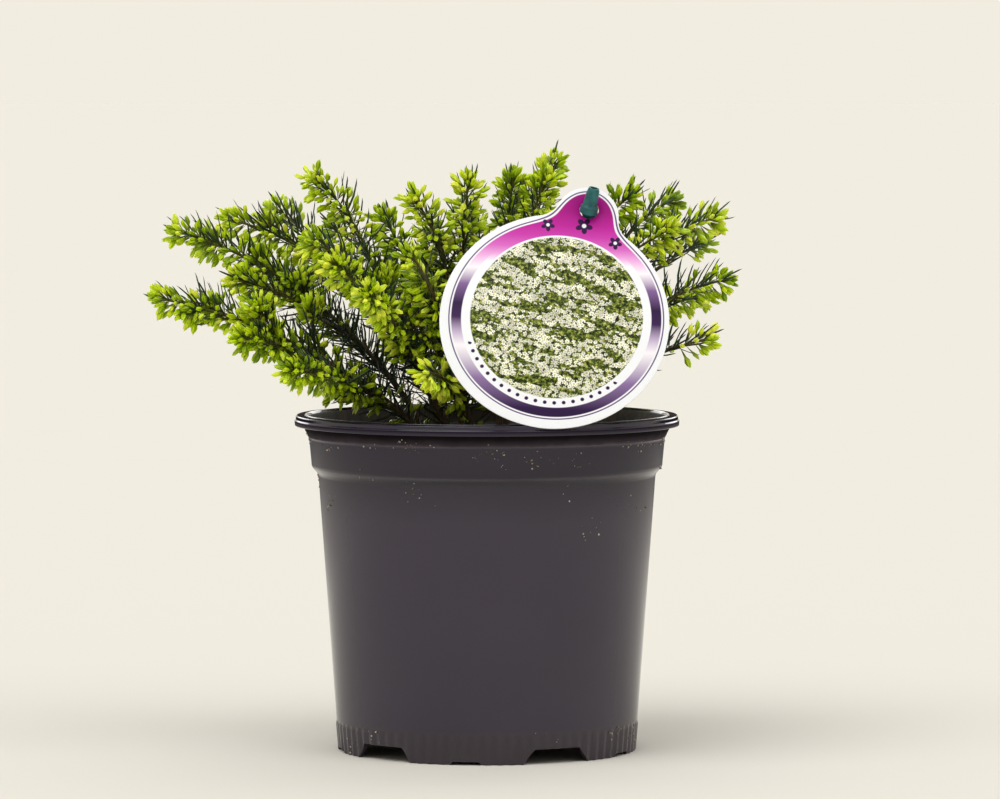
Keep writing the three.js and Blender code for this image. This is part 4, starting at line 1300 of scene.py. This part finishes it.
def make_plant():
    bark = bark_material()
    needle_green = leaf_material("needle_green", (26, 42, 36), (44, 66, 54), (76, 102, 84),
                                 (62, 78, 44), (32, 46, 42), 0.38, 0.0)
    bud_green = leaf_material("bud_green", (110, 142, 8), (206, 232, 18), (252, 255, 100),
                              (92, 108, 20), (132, 150, 26), 0.28, 0.14)
    needle = needle_shape()
    bud_kinds = [bud_shape(*kind) for kind in ((3, 0.1), (8, 0.3), (15, 0.5), (21, 0.9), (29, 0.0))]
    inverse = np.array(label_matrix().inverted())
    inverse[:3, 3] /= MM
    foot, top = (np.array(v) for v in stake_line())

    def blocked(point):
        return in_the_way(point, inverse, foot, top)

    for index, (key, (root, *form, habit)) in enumerate(BRANCHES.items()):
        name = "branch_" + key
        draw = np.random.default_rng(100 + index)
        shoots = branch_shoots(root, *form)
        bloom, leafy, spur_count, twig_count = habit
        spurs = short_twigs(shoots[0], blocked, draw, spur_count, 0.12, 0.62, 15, 25)
        twigs = short_twigs(shoots[0], blocked, draw, twig_count, 0.5, 0.88, 7, 12)
        make_stems(name, root, shoots + spurs + twigs, bark)
        foliage = Foliage(draw, blocked, needle, bud_kinds)
        for shoot in shoots:
            x, y, _ = shoot.controls[-1]
            foliage.dress(shoot, *(SHADED if x < -40 and y > 20 else (bloom, leafy)))
        for spur in spurs:
            foliage.dress(spur, SPUR_BLOOM, leafy)
        for twig in twigs:
            foliage.dress(twig, *OUTER_TWIG)
        give(foliage.needles.mesh(f"{name}_needles"), needle_green, 50)
        give(foliage.buds.mesh(f"{name}_buds"), bud_green, 50)


# Camera, floor and light

def make_camera():
    bpy.ops.object.camera_add(location=[v * MM for v in CAMERA_PLACE],
                              rotation=(radians(90 - CAMERA_PITCH_DEG), 0, 0))
    camera = bpy.context.object
    camera.data.lens = CAMERA_LENS
    camera.data.sensor_width = SENSOR_WIDTH
    camera.data.clip_end = 50
    bpy.context.scene.camera = camera


def make_floor():
    circle = bpy.ops.mesh.primitive_circle_add
    floor = add(circle, "studio_floor", vertices=96, radius=FLOOR_RADIUS_M, fill_type="NGON")
    look = Look("floor_cream", Roughness=1.0, Specular_IOR_Level=0.0)
    floor.data.materials.append(look.finished(FLOOR))

    # Beyond the light table the room is dark, which shows in the gloss of the pot's upright faces.
    cloth = add(circle, "studio_dark_surround", vertices=96, radius=SURROUND_RADIUS_M, location=(0, 0, 0.002))
    edit(cloth)
    bpy.ops.mesh.extrude_edges_move()
    bpy.ops.transform.resize(value=(SURROUND_GROWTH, SURROUND_GROWTH, 1))
    mode("OBJECT")
    cloth.visible_camera = cloth.visible_diffuse = cloth.visible_transmission = cloth.visible_shadow = False
    look = Look("cloth_black", Roughness=1.0, Specular_IOR_Level=0.0)
    where = look.outputs("TexCoord")["Object"]
    away = look.outputs("VectorMath", {0: where}, operation="LENGTH")["Value"]
    fading = [(0.0, FLOOR), (0.15, (0.56, 0.54, 0.5, 1)), (0.4, (0.24, 0.235, 0.23, 1)), (1.0, 40, 40, 44)]
    cloth.data.materials.append(look.finished(look.ramp(look.spread(away, 0.4, 1.8), fading)))


def make_light():
    """An even sky, with a key from the upper left, a fill from the right, and light from behind."""
    world = bpy.data.worlds.new("studio")
    bpy.context.scene.world = world
    world.use_nodes = True
    sky = Tree(world.node_tree)
    height = sky.parts(sky.outputs("TexCoord")["Generated"])[2]
    glow = sky.ramp(sky.spread(height, 0.16, 0.8), [(0.0, BACKDROP), (1.0, OVERHEAD)])
    sky.put(glow, world.node_tree.nodes["Background"].inputs["Color"])
    for turn, rise, power in SUNS:
        nothing_selected()
        bpy.ops.object.light_add(type="SUN", location=(0, 0, 1))
        sun = bpy.context.object
        sun.data.angle = radians(SUN_WIDTH_DEG)
        sun.data.energy = power
        sun.rotation_euler = (radians(90 - rise), 0, radians(turn))
    nothing_selected()
    bpy.ops.object.light_add(type="AREA", location=BACK_LIGHT_PLACE_M, rotation=(radians(-90), 0, 0))
    behind = bpy.context.object
    behind.data.shape = "RECTANGLE"
    behind.data.size, behind.data.size_y = BACK_LIGHT_SIZE_M
    behind.data.energy = BACK_LIGHT_POWER
    behind.visible_camera = behind.visible_diffuse = False
    bpy.context.scene.view_settings.view_transform = "Standard"
    bpy.context.scene.view_settings.gamma = GAMMA


make_camera()
make_floor()
make_light()
make_pot()
make_painted_shade_film()
peat = peat_material()
make_peat(peat)
make_specks(peat)
make_litter()
make_label()
make_stake()
make_plant()

nothing_selected()
